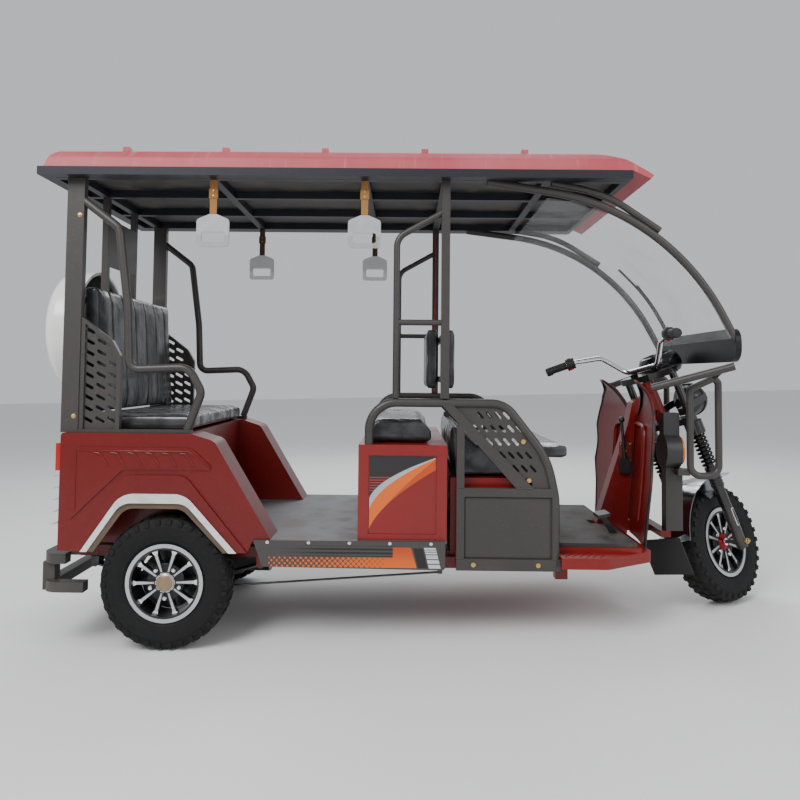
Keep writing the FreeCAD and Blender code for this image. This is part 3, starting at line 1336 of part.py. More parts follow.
# Windscreen: bent side tubes that close in towards the nose, a clear bent sheet and the dark panel below.
toe = link("create(<<placement>>; create(<<vector>>; screen_top_x; 0 - screen_y; 0);"
           " create(<<rotation>>; create(<<vector>>; 0; 0; 1); screen_toe))"
           " * create(<<placement>>; create(<<vector>>; 0 - screen_top_x; 0; 0);"
           " create(<<rotation>>; create(<<vector>>; 0; 0; 1); 0))")
screen_tube_line = tube("screen_side", "side", "0", [
    ("screen_top_x", "screen_top_z - seat_gap"), ("screen_bend_x", "screen_bend_z", "screen_round"),
    ("screen_foot_x", "screen_foot_z")], "screen_tube")
brow_tube = tube("screen_brow", "side", "0", [
    ("brow_top_x", "screen_top_z - seat_gap"), ("brow_bend_x", "brow_bend_z", "brow_round"),
    ("brow_foot_x", "brow_foot_z")], "screen_low_tube")
screen_bars = fuse("screen_bars", screen_tube_line, brow_tube)
screen_bars.setExpression("Placement", toe)
roof_zone = box("roof_zone", ("screen_top_x - 60", "brow_bend_x"), ("0 - eave_y", "0 - well_y"),
                ("roof_frame_z - seat_gap", "roof_crown_z"))
panel_zone = box("panel_zone", ("panel_x - panel_thick / 2 - seat_gap", "panel_x + 60"),
                 ("0 - eave_y", "0 - well_y"), ("panel_low_z - 20", "panel_top_z + 60"))
node("windscreen_frame", pair("screen_pair", cut("screen_trimmed", screen_bars, group(
    "screen_zones", roof_zone, panel_zone))))
def screen_side_line(drop, backwards=False):
    """The clear sheet's bent line, set in from the tubes' centre line by a distance."""
    line = [(f"screen_sheet_x - screen_lean * {drop}", f"screen_sheet_z - {drop}"),
            (f"screen_bend_x - 0.644 * {drop}", f"screen_bend_z - 0.919 * {drop}", f"screen_round - {drop}"),
            (f"screen_hem_x - 0.883 * {drop}", f"screen_hem_z - 0.469 * {drop}")]
    return line[::-1] if backwards else line


screen_drop = "(screen_tube / 2 + seat_gap + screen_slack)"
node("windscreen", prism("clear_sheet", "side", ("0 - screen_half", "screen_half"),
                         screen_side_line(screen_drop)
                         + screen_side_line(f"({screen_drop} + screen_thick)", backwards=True)))
node("screen_panel", prism("screen_sheet", "front",
                           ("panel_x - panel_thick / 2", "panel_x + panel_thick / 2"), [
    ("0 - panel_half", "panel_low_z", "panel_round"), ("panel_half", "panel_low_z", "panel_round"),
    ("panel_half", "panel_top_z", "panel_round"), ("0 - panel_half", "panel_top_z", "panel_round")]))

# Front guard: a stay up to the panel and a closed loop on each side, carried by the nose posts.
stay = bar("stay", "stay_tube", ("stay_rear_x", "0 - stay_rear_y", "stay_rear_z"),
           ("stay_front_x", "0 - stay_front_y", "stay_front_z"))
bull = tube("bull", "side", "0 - guard_y", [
    ("bull_rear_x", "bull_low_z", "bull_bend"), ("bull_front_x", "bull_low_z", "bull_bend"),
    ("bull_front_x", "bull_top_z", "bull_bend / 2"), ("bull_rear_x", "bull_rear_z", "bull_bend / 2")],
    "bull_tube", closed=True)
bull_tab = box("bull_tab", ("post_x + post_depth / 2", "bull_rear_x"),
               ("0 - guard_y", "0 - post_y - post_width / 2 - seat_gap"),
               ("bull_low_z", "post_top_z - seat_gap"))
stay_tie = bar("stay_tie", "bull_tube - 8", ("bull_front_x - 18", "0 - guard_y", "bull_top_z - 8"),
               ("bull_front_x - 18", "0 - stay_front_y + 8", "stay_front_z - 4"))
node("front_guard", pair("guard_loop_pair", fuse("guard_loop", stay, bull, bull_tab, stay_tie)))

# Posts on the nose bar, each with a round signal, its ring and a box above.
post_side = ("0 - post_y - post_width / 2", "0 - post_y + post_width / 2")
post = box("post", ("post_x", "post_x + post_depth"), post_side, ("keel_high_z + seat_gap", "post_top_z"))
drum_z = "post_top_z + signal_size / 2"
signal_front = "signal_x + signal_length"
drum = rod("signal_drum", "x", "signal_size", ("0 - signal_y", drum_z),
           ("signal_x", signal_front + " - signal_ring"))
lens = rod("signal_lens", "x", "signal_size - 2 * signal_ring", ("0 - signal_y", drum_z),
           ("signal_x", signal_front))
relay = box("relay", ("signal_x", signal_front + " - signal_ring"),
            ("0 - signal_y - post_width / 2", "0 - signal_y + post_width / 2"), (drum_z, "relay_top_z"))
signal_cap = box("signal_cap", ("post_x", "post_x + post_depth - signal_ring"), post_side,
                 ("post_top_z - signal_ring", drum_z))
node("nose_posts", pair("post_pair", post))
node("front_signals", pair("signal_pair", cut("signal_seated",
                                              fuse("signal_solid", drum, lens, relay, signal_cap), box(
    "post_space", ("signal_x - 10", "post_x + 2 * post_depth"),
    ("0 - post_y - post_width", "0 - post_y + post_width"), ("keel_high_z", "post_top_z + seat_gap")))))

# Leg shield: a thin bowed sheet between the driver and the fork, with a lobe on each side of a notch.
pan_top = "(step_low_z + step_thick)"


def shield_band(drop):
    """The shield's side profile as a closed band, set back by a distance."""
    rear = [("shield_foot_x", "shield_keel_z - 3 * bull_bend / 2"),
            ("shield_belly_x", "shield_belly_z", "600"),
            ("shield_chest_x", "shield_chest_z", "200"), ("shield_brow_x", "shield_brow_z", "60"),
            ("shield_tip_x - 20", "shield_top_z + 20")]
    band = [(f"{point[0]} - {drop}", *point[1:]) for point in rear]
    front = [(f"{point[0]} + shield_thick - {drop}", f"{point[1]} + shield_thick / 3",
              *point[2:]) for point in rear]
    return band + front[::-1]


shield_body = doc.addObject("PartDesign::Body", "shield_bow")
sections = []
for name, place, drop in (("near", "0 - shield_half", "shield_side_drop"), ("centre", "0", "0"),
                          ("far", "shield_half", "shield_side_drop")):
    section = new_sketch(shield_body, "shield_" + name, "XZ_Plane", f"0 - ({place})")
    trace(section, shield_band(drop), closed=True)
    sections.append(section)
bow = shield_body.newObject("PartDesign::AdditiveLoft", "shield_loft")
bow.Profile = sections[0]
bow.Sections = sections[1:]
bow.Ruled = False
shield_body.Tip = bow
shield_foot = pan_top + " + seat_gap"
lobe = [("shield_notch_half", "shield_notch_z"), ("shield_lobe_y", "shield_top_z"),
        ("shield_lobe_y + 24", "shield_top_z", "14"), ("shield_half - 58", "910", "60"),
        ("shield_half - 22", "850", "30"), ("shield_half - 1", "775", "24"),
        ("shield_half - 22", "690", "50"),
        ("shield_half - 1", "610", "24"), ("shield_half - 34", "500", "60"),
        ("shield_half - 50", shield_foot),
        ("neck_half + 6", shield_foot), ("neck_half + 6", "shield_keel_z")]
near_lobe = [("0 - (" + point[0] + ")", *point[1:]) for point in reversed(lobe)]
shield_outline = prism("shield_outline", "front", ("shield_tip_x - 120", "shield_chest_x + 40"),
                       lobe + near_lobe)
node("leg_shield", common("shield_sheet", shield_body, shield_outline))

# Front floor: a pressed pan with a raised tread, holes along its edges, and a mat.
step_side_x = "(hoop_foot_x + hoop_tube / 2 + seat_gap)"
pan_plan = [("step_rear_x", "0 - step_inner_y"), (step_side_x, "0 - step_inner_y"),
            (step_side_x, "0 - step_y"),
            ("step_taper_x", "0 - step_y", "30"), ("step_nose_x", "0 - step_nose_y", "20"),
            ("step_nose_x", "step_nose_y", "20"), ("step_taper_x", "step_y", "30"), (step_side_x, "step_y"),
            (step_side_x, "step_inner_y"), ("step_rear_x", "step_inner_y")]
pan_space_plan = [("step_rear_x - 10", "0 - step_y + step_wall"),
                  ("step_taper_x", "0 - step_y + step_wall", "24"),
                  ("step_nose_x + 10", "0 - step_nose_y + 2 * step_wall"),
                  ("step_nose_x + 10", "step_nose_y - 2 * step_wall"),
                  ("step_taper_x", "step_y - step_wall", "24"), ("step_rear_x - 10", "step_y - step_wall")]
pan = cut("pan_hollow", prism("pan_block", "plan", ("step_low_z", pan_top), pan_plan),
          prism("pan_space", "plan", ("step_low_z - 10", "rail_top_z + seat_gap"), pan_space_plan))
tread_top = "(step_low_z + step_thick + tread_rise)"
tread = box("tread", ("tread_rear_x", "tread_front_x"), ("0 - tread_y", "tread_y"), (pan_top, tread_top))
neck_slot = box("neck_slot", ("neck_rear_x - seat_gap", "step_nose_x + 10"),
                ("0 - neck_half - seat_gap", "neck_half + seat_gap"), ("step_low_z - 10", "keel_high_z"))
step_holes = []
for row in range(3):
    for column in range(6):
        hole = doc.addObject("Part::Prism", f"step_hole_{row}_{column}")
        hole.Polygon = 6
        hole.setExpression("Circumradius", link("step_hole / 2"))
        hole.setExpression("Height", link("2 * step_thick"))
        hole.setExpression("Placement", at(
            f"step_hole_x + ({column} + {row % 2} / 2) * step_hole_pitch",
            f"0 - step_hole_y - {row} * step_row",
            "step_low_z"))
        step_holes.append(hole)
hole_set = group("step_holes", *step_holes)
node("front_floor_pan", cut("pan_pierced", fuse("pan_solid", pan, tread), group(
    "pan_cuts", neck_slot, hole_set, mirrored(hole_set))))
mat_low, mat_top = "(step_low_z + step_thick + tread_rise + seat_gap)", "(step_low_z + step_thick + tread_rise + seat_gap + mat_thick)"
mat = box("mat", ("tread_rear_x + mat_margin", "tread_front_x - mat_margin"),
          ("0 - tread_y + mat_margin", "tread_y - mat_margin"), (mat_low, mat_top))
node("floor_mat", cut("mat_slotted", mat, box(
    "mat_slot", ("neck_rear_x", "step_nose_x"), ("0 - neck_half - 3", "neck_half + 3"),
    (pan_top, "keel_high_z"))))

# Brake pedal on the mat, and the parking lever beside the neck.
pedal_arm = prism("pedal_lever", "side", ("pedal_y - pedal_arm / 2", "pedal_y + pedal_arm / 2"), [
    ("pedal_x + 30", mat_top + " + seat_gap"), ("pedal_x + 60", mat_top + " + seat_gap"),
    ("pedal_x + 12", "pedal_z + 2"), ("pedal_x - 8", "pedal_z")])
pedal_pad = prism("pedal_pad", "side", ("pedal_y - pedal_wide / 2", "pedal_y + pedal_wide / 2"), [
    ("pedal_x - pedal_long / 2", "pedal_z - 6"), ("pedal_x + pedal_long / 2", "pedal_z + 4"),
    ("pedal_x + pedal_long / 2", "pedal_z + 4 + pedal_thick"),
    ("pedal_x - pedal_long / 2", "pedal_z - 6 + pedal_thick")])
lever_rod = bar("lever_rod_solid", "lever_rod", ("lever_base_x", "lever_base_y", "lever_low_z"),
                ("lever_top_x", "lever_base_y", "lever_top_z"))
knob = doc.addObject("Part::Sphere", "lever_knob_solid")
knob.setExpression("Radius", link("lever_knob / 2"))
knob.setExpression("Placement", at("lever_top_x", "lever_base_y", "lever_top_z"))
lever_plate = box("lever_plate", ("lever_base_x - 22", "lever_base_x + 22"),
                  ("lever_base_y - lever_rod / 2", "0 - neck_half - seat_gap"),
                  ("lever_low_z - 40", "lever_low_z + 20"))
node("driver_controls", group("control_pair", fuse("brake_pedal", pedal_arm, pedal_pad),
                              fuse("parking_lever", lever_rod, knob, lever_plate)))

# Four hand grips, each hanging from the roof frame on a strap.
grips, straps = [], []
grip_low = "grip_top_z - grip_height"
for name, place in (("rear", "cross_rear_grip_x"), ("front", "cross_front_grip_x")):
    plate = prism(f"grip_plate_{name}", "side",
                  ("0 - grip_y - grip_thick / 2", "0 - grip_y + grip_thick / 2"), [
        (f"{place} - grip_width / 2", grip_low, "14"), (f"{place} + grip_width / 2", grip_low, "14"),
        (f"{place} + grip_width / 2", "grip_top_z - 20", "14"), (f"{place} + grip_neck / 2", "grip_top_z"),
        (f"{place} - grip_neck / 2", "grip_top_z"), (f"{place} - grip_width / 2", "grip_top_z - 20", "14")])
    left, right = f"{place} - grip_width / 2 + grip_border", f"{place} + grip_width / 2 - grip_border"
    low, high = grip_low + " + grip_border", grip_low + " + grip_border + grip_slot_height"
    slot = prism(f"grip_slot_{name}", "side", ("0 - grip_y - grip_thick", "0 - grip_y + grip_thick"), [
        (left, low, "8"), (right, low, "8"), (right, high, "8"), (left, high, "8")])
    grips.append(cut(f"grip_{name}", plate, slot))
    straps.append(box(f"strap_{name}", (f"{place} - strap_width / 2", f"{place} + strap_width / 2"),
                      ("0 - grip_y - strap_thick / 2", "0 - grip_y + strap_thick / 2"),
                      ("grip_top_z + seat_gap", "roof_frame_z - seat_gap")))
node("hand_grips", pair("grip_set", group("near_grips", *grips)))
node("hand_straps", pair("strap_set", group("near_straps", *straps)))

# Fork, in its own frame: a leg on each side, two crowns on the stem, and the axle.
leg_place = ("wheel_lead", "0 - leg_y")
ear_y = ("0 - lamp_size / 2 - seat_gap - lamp_ear", "0 - lamp_size / 2 - seat_gap")
ear_z = ("lamp_along - lamp_ear_height / 2", "lamp_along + lamp_ear_height / 2")
leg = fuse("fork_leg",
           rod("slider_tube", "z", "slider", leg_place, ("slider_low", "slider_top")),
           rod("boot_tube", "z", "boot", leg_place, ("slider_top", "boot_top")),
           rod("stanchion_tube", "z", "stanchion", leg_place, ("boot_top", "top_crown_z + crown_thick")),
           rod("cup_solid", "z", "cup", leg_place, ("coil_top + seat_gap", "cup_high")),
           box("lamp_ear_plate", ("wheel_lead - 10", "lamp_face - lamp_rim / 2"), ear_y, ear_z),
           box("lamp_ear_root", ("wheel_lead - stanchion / 4", "wheel_lead + stanchion / 4"),
               ("0 - leg_y", "0 - lamp_size / 2 - seat_gap - 1"), ear_z))


def crown(name, low):
    return prism(name, "plan", (low, low + " + crown_thick"), [
        ("0 - crown_rear", "0 - stem"), ("wheel_lead - cup / 3", "0 - crown_half", "12"),
        ("crown_front", "0 - crown_half", "12"), ("crown_front", "crown_half", "12"),
        ("wheel_lead - cup / 3", "crown_half", "12"), ("0 - crown_rear", "stem")])


stem = rod("stem_rod", "z", "stem", ("0", "0"), ("cup_high", "top_crown_z + crown_thick"))
axle_rod = rod("front_axle", "y", "front_shaft", ("wheel_lead", "0"),
               ("0 - leg_y - slider / 2 - 12", "leg_y + slider / 2 + 12"))
riser = box("bar_riser", ("0 - riser_x_half", "riser_x_half"),
            ("0 - bar_riser_y - riser_x_half / 2", "0 - bar_riser_y + riser_x_half / 2"),
            ("top_crown_z + crown_thick", "bar_low_z - bar_tube / 2 - seat_gap"))
pod_arm = box("pod_bracket", ("crown_front - 4", "pod_ahead - pod_size / 2 - seat_gap"),
              ("0 - pod_arm", "pod_arm"),
              ("top_crown_z", "top_crown_z + crown_thick"))
node("fork", fuse("fork_solid", leg, mirrored(leg), crown("lower_crown", "cup_high"),
                  crown("top_crown", "top_crown_z"), stem, axle_rod, riser, mirrored(riser), pod_arm), TURNED)

# Each spring is a sleeve with a groove between its turns, around the stanchion.
spring_pitch = "((coil_top - boot_top - seat_gap) / coil_turns)"
spring_line = [("stanchion / 2 + seat_gap", "coil_top"), ("stanchion / 2 + seat_gap", "boot_top + seat_gap")]
for count in range(int(SIZES["coil_turns"])):
    for reach, along in (("coil_outside / 2 - coil_wire / 2", "0"), ("coil_outside / 2", "0.3"),
                         ("coil_outside / 2", "0.7")):
        spring_line.append((reach, f"boot_top + seat_gap + ({count} + {along}) * {spring_pitch}"))
spring_line.append(("coil_outside / 2 - coil_wire / 2", "coil_top"))
sleeve = turned("spring_sleeve", spring_line, "XZ_Plane")
sleeve.setExpression("Placement", at("wheel_lead", "0 - leg_y", "0"))
node("fork_springs", pair("fork_spring_pair", group("spring_place", sleeve)), TURNED)

# Front fender: a band over the tyre with side plates on the fork's legs, and a flap behind it.
fender_in, fender_out = "tyre_diameter / 2 + fender_gap", "tyre_diameter / 2 + fender_gap + fender_thick"
band_out = rod("fender_out", "y", f"2 * ({fender_out})", ("wheel_lead", "0"),
               ("0 - fender_width / 2", "fender_width / 2"))
band_in = rod("fender_in", "y", f"2 * ({fender_in})", ("wheel_lead", "0"),
              ("0 - fender_width", "fender_width"))
far = "(2 * tyre_diameter)"
wedge = prism("fender_wedge", "side", ("0 - fender_width", "fender_width"), [
    ("wheel_lead", "0"), (f"wheel_lead + {far} * cos(fender_front)", f"{far} * sin(fender_front)"),
    ("wheel_lead", f"2 * {far}"), (f"wheel_lead + {far} * cos(fender_rear)", f"{far} * sin(fender_rear)")])
band = common("fender_band", cut("fender_tube", band_out, band_in), wedge)
plate_y = ("0 - fender_width / 2 - fender_thick", "0 - fender_width / 2")
plate_disc = rod("plate_disc", "y", f"2 * ({fender_out})", ("wheel_lead", "0"), plate_y)
plate_wedge = prism("plate_wedge", "side", plate_y, [
    ("wheel_lead - 2 * slider", fender_out), ("wheel_lead - slider / 2", "fender_stay_low"),
    ("wheel_lead + slider / 2", "fender_stay_low"), ("wheel_lead + 2 * slider", fender_out)])
fender_plate = common("fender_plate", plate_disc, plate_wedge)
fender_boss = box("fender_boss", ("wheel_lead - slider / 4", "wheel_lead + slider / 4"),
                  ("0 - leg_y + slider / 2 + seat_gap", "0 - fender_width / 2"),
                  ("fender_stay_low", "fender_stay_low + fender_boss"))
tongue = prism("fender_tongue", "side", ("0 - flap_arm_half", "flap_arm_half"), [
    (f"wheel_lead + ({fender_out} - 1) * cos(fender_rear)", f"({fender_out} - 1) * sin(fender_rear)"),
    ("0 - flap_back + flap_thick / 2 + seat_gap", "flap_high - 26"),
    ("0 - flap_back + flap_thick / 2 + seat_gap", "flap_high - 12"),
    (f"wheel_lead + ({fender_in} + 1) * cos(fender_rear - 6)", f"({fender_in} + 1) * sin(fender_rear - 6)")])
near_stay = fuse("near_fender_stay", fender_plate, fender_boss)
node("front_fender", fuse("fender_solid", band, near_stay, mirrored(near_stay), tongue), TURNED)
node("mud_flap", group("flap_place", box(
    "flap", ("0 - flap_back - flap_thick / 2", "0 - flap_back + flap_thick / 2"),
    ("0 - flap_width / 2", "flap_width / 2"), ("flap_low", "flap_high"))), TURNED)

# Handlebar with its grips and switches, the instrument pod and the headlamp.
bar_half = [("bar_end_x", "bar_end_y", "bar_end_z"), ("bar_root_x", "bar_root_y", "bar_root_z"),
            ("bar_bend_x", "bar_bend_y", "bar_bend_z"), ("0", "bar_low_y", "bar_low_z")]
bar_near = [(x, "0 - " + y, z) for x, y, z in bar_half]
node("handlebar", bent("bar_tube_solid", "bar_tube", bar_near + bar_half[::-1], "bar_bend_round"), TURNED)


def along_grip(share, item_label, size, length):
    """A round sleeve on the bar's end, starting at a share of the way from the tip."""
    tip, root = (Vector(*(num(place) for place in point)) for point in bar_near[:2])
    start = tip + (root - tip) * share
    way = (root - tip).normalize()
    item = doc.addObject("Part::Feature", item_label)
    outside = Part.makeCylinder(num(size) / 2, num(length), start, way)
    inside = Part.makeCylinder(num("bar_tube / 2 + seat_gap"), num(length), start, way)
    item.Shape = outside.cut(inside)
    return item


node("bar_grips", pair("grip_sleeves", group(
    "near_sleeve", fuse("sleeve_solid", along_grip(0, "rubber_sleeve", "handgrip", "handgrip_long"),
                        along_grip(0.66, "switch_ring", "switch_size", "switch_long")))), TURNED)
pod = turned("pod", [
    ("0", "pod_low"), ("pod_size / 2 - 14", "pod_low", "10"), ("pod_size / 2", "pod_low + 22", "8"),
    ("pod_size / 2", "pod_low + pod_depth - 6"), ("pod_size / 2 - 6", "pod_low + pod_depth"),
    ("pod_size / 2 - 10", "pod_low + pod_depth - 4"), ("0", "pod_low + pod_depth - 4")], "XZ_Plane")
pod.setExpression("Placement", at("pod_ahead", "0", "0"))
node("instrument_pod", group("pod_place", pod), TURNED)
lamp = turned("lamp", [
    ("0", "0 - lamp_bowl"), ("lamp_size / 5", "0 - lamp_bowl"),
    ("lamp_size / 2 - 12", "0 - lamp_bowl / 2", "40"),
    ("lamp_size / 2 - 4", "0 - lamp_rim"), ("lamp_size / 2", "0 - lamp_rim"), ("lamp_size / 2", "0"),
    ("lamp_size / 2 - 8", "0"), ("lamp_size / 2 - 10", "0 - 4"), ("0", "8")])
lamp.setExpression("Placement", at("lamp_face", "0", "lamp_along", "0 - 90"))
node("headlamp", group("lamp_place", lamp), TURNED)

doc.recompute()
for item in doc.Objects:
    if {"Invalid", "Error"} & set(item.State):
        raise ValueError(f"{item.Label} could not be rebuilt")
for item in nodes:
    if item.Shape.isNull() or not item.Shape.isValid():
        raise ValueError(f"{item.Label} has no sound shape")
for item in nodes:
    item.Shape.exportStep(f"parts/{item.Label}.step")
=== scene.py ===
"""Looks of the auto rickshaw: finishes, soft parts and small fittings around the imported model.

Lengths are metres. Pieces of the bodywork are drawn level and then tipped with it, steered pieces
are drawn straight ahead along the fork, and pieces of a wheel are drawn about its own centre.
"""
import math

import bpy
import numpy as np
from mathutils import Matrix, Vector


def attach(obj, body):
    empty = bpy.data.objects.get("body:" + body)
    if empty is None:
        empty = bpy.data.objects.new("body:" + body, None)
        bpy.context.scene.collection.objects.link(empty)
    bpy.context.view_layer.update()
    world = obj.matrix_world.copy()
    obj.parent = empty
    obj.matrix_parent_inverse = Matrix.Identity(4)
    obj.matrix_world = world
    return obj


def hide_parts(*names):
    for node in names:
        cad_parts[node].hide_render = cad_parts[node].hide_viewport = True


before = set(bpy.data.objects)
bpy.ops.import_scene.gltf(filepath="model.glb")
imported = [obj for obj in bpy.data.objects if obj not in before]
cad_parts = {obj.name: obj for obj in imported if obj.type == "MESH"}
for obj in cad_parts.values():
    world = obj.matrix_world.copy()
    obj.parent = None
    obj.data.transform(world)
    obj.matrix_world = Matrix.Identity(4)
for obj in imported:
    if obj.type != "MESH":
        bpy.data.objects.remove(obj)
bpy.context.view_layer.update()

# Where the groups of pieces stand. These are the part's own driving sizes.
SHIFT = -0.02315
AXLE_PLACE, WHEEL_RADIUS = -0.886, 0.240
AXLE = Vector((AXLE_PLACE + SHIFT, 0, WHEEL_RADIUS))
NOSE_DOWN = math.radians(1.58)
HALF_TRACK = 0.430
FOOT = Vector((1.293 + SHIFT, 0, 0.2315))
RAKE = math.radians(20)
STEER_TURN = math.radians(38)
WHEEL_LEAD = 0.028
LEVEL = Vector((AXLE_PLACE, 0, WHEEL_RADIUS))
BODY = Matrix.Translation(AXLE) @ Matrix.Rotation(NOSE_DOWN, 4, "Y") @ Matrix.Translation(-LEVEL)
FORK = Matrix.Translation(FOOT) @ Matrix.Rotation(-RAKE, 4, "Y") @ Matrix.Rotation(STEER_TURN, 4, "Z")
WHEELS = {
    "rear_wheel_right": Matrix.Translation(AXLE - Vector((0, HALF_TRACK, 0))),
    "rear_wheel_left": (Matrix.Translation(AXLE + Vector((0, HALF_TRACK, 0)))
                        @ Matrix.Rotation(math.pi, 4, "Z")),
    "front_wheel": FORK @ Matrix.Translation((WHEEL_LEAD, 0, 0)),
}
STANDS = {"body": BODY, "steering": FORK, **WHEELS}
SPARE = BODY @ (Matrix.Translation((-1.402, 0, 1.180)) @ Matrix.Rotation(math.pi / 2, 4, "Z"))
MIRROR = Matrix.Diagonal((1, -1, 1, 1))

# Camera, fitted to the wheels and the frame. The focal length and the axis are in pixels.
IMAGE, SENSOR = 800, 36
FOCAL = 721.5
AXIS_HEIGHT = 341.8
CAMERA_PLACE = (SHIFT, -3.117, 0.975)
YAW, PITCH, ROLL = math.radians(-0.382), math.radians(2.684), math.radians(-1.029)
camera = bpy.data.objects.new("camera", bpy.data.cameras.new("camera"))
bpy.context.collection.objects.link(camera)
camera.data.sensor_width = SENSOR
camera.data.lens = SENSOR * FOCAL / IMAGE
camera.data.shift_y = (AXIS_HEIGHT - IMAGE / 2) / IMAGE
camera.data.clip_start = 0.05
ahead = Vector((math.sin(YAW) * math.cos(PITCH), math.cos(YAW) * math.cos(PITCH), math.sin(PITCH)))
level_right = Vector((math.cos(YAW), -math.sin(YAW), 0))
level_up = level_right.cross(ahead)
right = level_right * math.cos(ROLL) + level_up * math.sin(ROLL)
up = level_up * math.cos(ROLL) - level_right * math.sin(ROLL)
camera_turn = Matrix((right, up, -ahead)).transposed().to_4x4()
camera.matrix_world = Matrix.Translation(CAMERA_PLACE) @ camera_turn
bpy.context.scene.camera = camera


def lamp(name, place, target, size, power):
    """A large soft light that faces a point."""
    light = bpy.data.objects.new(name, bpy.data.lights.new(name, "AREA"))
    bpy.context.collection.objects.link(light)
    light.data.size = size
    light.data.energy = power
    light.location = place
    light.rotation_euler = (Vector(target) - Vector(place)).to_track_quat("-Z", "Y").to_euler()


lamp("key_light", (-2.5, -4.0, 4.6), (0, 0, 0.8), 3.0, 330)
lamp("fill_light", (3.8, -3.2, 2.6), (0.5, 0, 0.8), 3.0, 90)
lamp("back_light", (0.5, 4.0, 4.4), (0, 0, 1.2), 3.5, 160)
world = bpy.data.worlds.new("studio")
world.use_nodes = True
world.node_tree.nodes["Background"].inputs["Color"].default_value = (0.93, 0.95, 1.0, 1)
world.node_tree.nodes["Background"].inputs["Strength"].default_value = 0.66
bpy.context.scene.world = world


class Value:
    """A shader socket that arithmetic can be written with."""

    def __init__(self, shader, socket):
        self.shader = shader
        self.socket = socket

    def math(self, operation, *terms):
        return self.shader.add("ShaderNodeMath", {"operation": operation}, dict(enumerate(terms)))

    def __add__(self, other):
        return self.math("ADD", self, other)

    __radd__ = __add__

    def __sub__(self, other):
        return self.math("SUBTRACT", self, other)

    def __rsub__(self, other):
        return self.math("SUBTRACT", other, self)

    def __mul__(self, other):
        return self.math("MULTIPLY", self, other)

    __rmul__ = __mul__

    def __truediv__(self, other):
        return self.math("DIVIDE", self, other)

    def __pow__(self, other):
        return self.math("POWER", self, other)

    def __abs__(self):
        return self.math("ABSOLUTE", self)

    def above(self, edge):
        return self.math("GREATER_THAN", self, edge)

    def below(self, edge):
        return self.math("LESS_THAN", self, edge)

    def between(self, low, high):
        return self.above(low) * self.below(high)

    def most(self, other):
        return self.math("MAXIMUM", self, other)

    def sine(self):
        return self.math("SINE", self)

    def waves(self, pitch):
        """A sine wave along the value, repeated at a pitch."""
        return (self * (2 * math.pi / pitch)).sine()

    def root(self):
        return self.math("SQRT", self)

    def angle_with(self, other):
        return self.math("ARCTAN2", self, other)

    def fade(self, low, high):
        """From 0 at one value to 1 at the other, with soft ends."""
        return self.shader.add("ShaderNodeMapRange", {"interpolation_type": "SMOOTHSTEP"},
                               {"Value": self, "From Min": low, "From Max": high})


class Shader:
    """A material whose nodes are added by expressions."""

    def __init__(self, name, place=Matrix(), **constants):
        self.material = bpy.data.materials.new(name)
        self.material.use_nodes = True
        self.nodes = self.material.node_tree.nodes
        self.links = self.material.node_tree.links
        self.surface = self.nodes["Principled BSDF"]
        for key, value in constants.items():
            self.set(key.replace("_", " ").title().replace("Ior", "IOR"), value)
        spot = self.add("ShaderNodeTexCoord", {}, {}, "Object")
        self.spot = self.add("ShaderNodeMapping", {"vector_type": "TEXTURE"}, {
            "Vector": spot, "Location": place.translation, "Rotation": place.to_euler()})
        self.x, self.y, self.z = (
            self.add("ShaderNodeSeparateXYZ", {}, {0: self.spot}, axis) for axis in "XYZ")

    def add(self, kind, settings, inputs, out=0):
        node = self.nodes.new(kind)
        for key, value in settings.items():
            setattr(node, key, value)
        for key, value in inputs.items():
            if isinstance(value, Value):
                self.links.new(value.socket, node.inputs[key])
            else:
                node.inputs[key].default_value = value
        return Value(self, node.outputs[out])

    def set(self, name, value):
        if isinstance(value, Value):
            self.links.new(value.socket, self.surface.inputs[name])
        elif isinstance(value, tuple) and len(value) == 3:
            self.surface.inputs[name].default_value = (*value, 1)
        else:
            self.surface.inputs[name].default_value = value

    def reach(self):
        """Distance from the axle of a wheel."""
        return (self.x * self.x + self.z * self.z).root()

    def vector(self, x, y, z):
        return self.add("ShaderNodeCombineXYZ", {}, {0: x, 1: y, 2: z})

    def noise(self, scale, detail=3, spot=None):
        return self.add("ShaderNodeTexNoise", {}, {
            "Vector": spot or self.spot, "Scale": scale, "Detail": detail})

    def cells(self, scale):
        return self.add("ShaderNodeTexVoronoi", {}, {"Vector": self.spot, "Scale": scale})

    def blend(self, share, first, second):
        """One colour turning into another by a share."""
        colours = {6: first, 7: second}
        for key, colour in colours.items():
            if isinstance(colour, tuple):
                colours[key] = (*colour, 1)
        return self.add("ShaderNodeMix", {"data_type": "RGBA"}, {0: share, **colours}, 2)

    def bump(self, height, depth):
        relief = {"Height": height, "Distance": depth, "Strength": 1.0}
        self.set("Normal", self.add("ShaderNodeBump", {}, relief))


DUST = (0.20, 0.16, 0.12)
RED, BRIGHT_RED = (0.130, 0.0030, 0.0020), (0.200, 0.0045, 0.0030)
TAN, TAN_IN_PAINTED_SHADE = (0.43, 0.20, 0.055), (0.12, 0.055, 0.030)
CHARCOAL = (0.043, 0.039, 0.036)
ORANGE, DEEP_ORANGE = (0.62, 0.110, 0.003), (0.44, 0.048, 0.002)
PALE_HUB, RED_HUB = (0.50, 0.49, 0.47), (0.24, 0.012, 0.014)


def darker(colour, share):
    return tuple(part * share for part in colour)


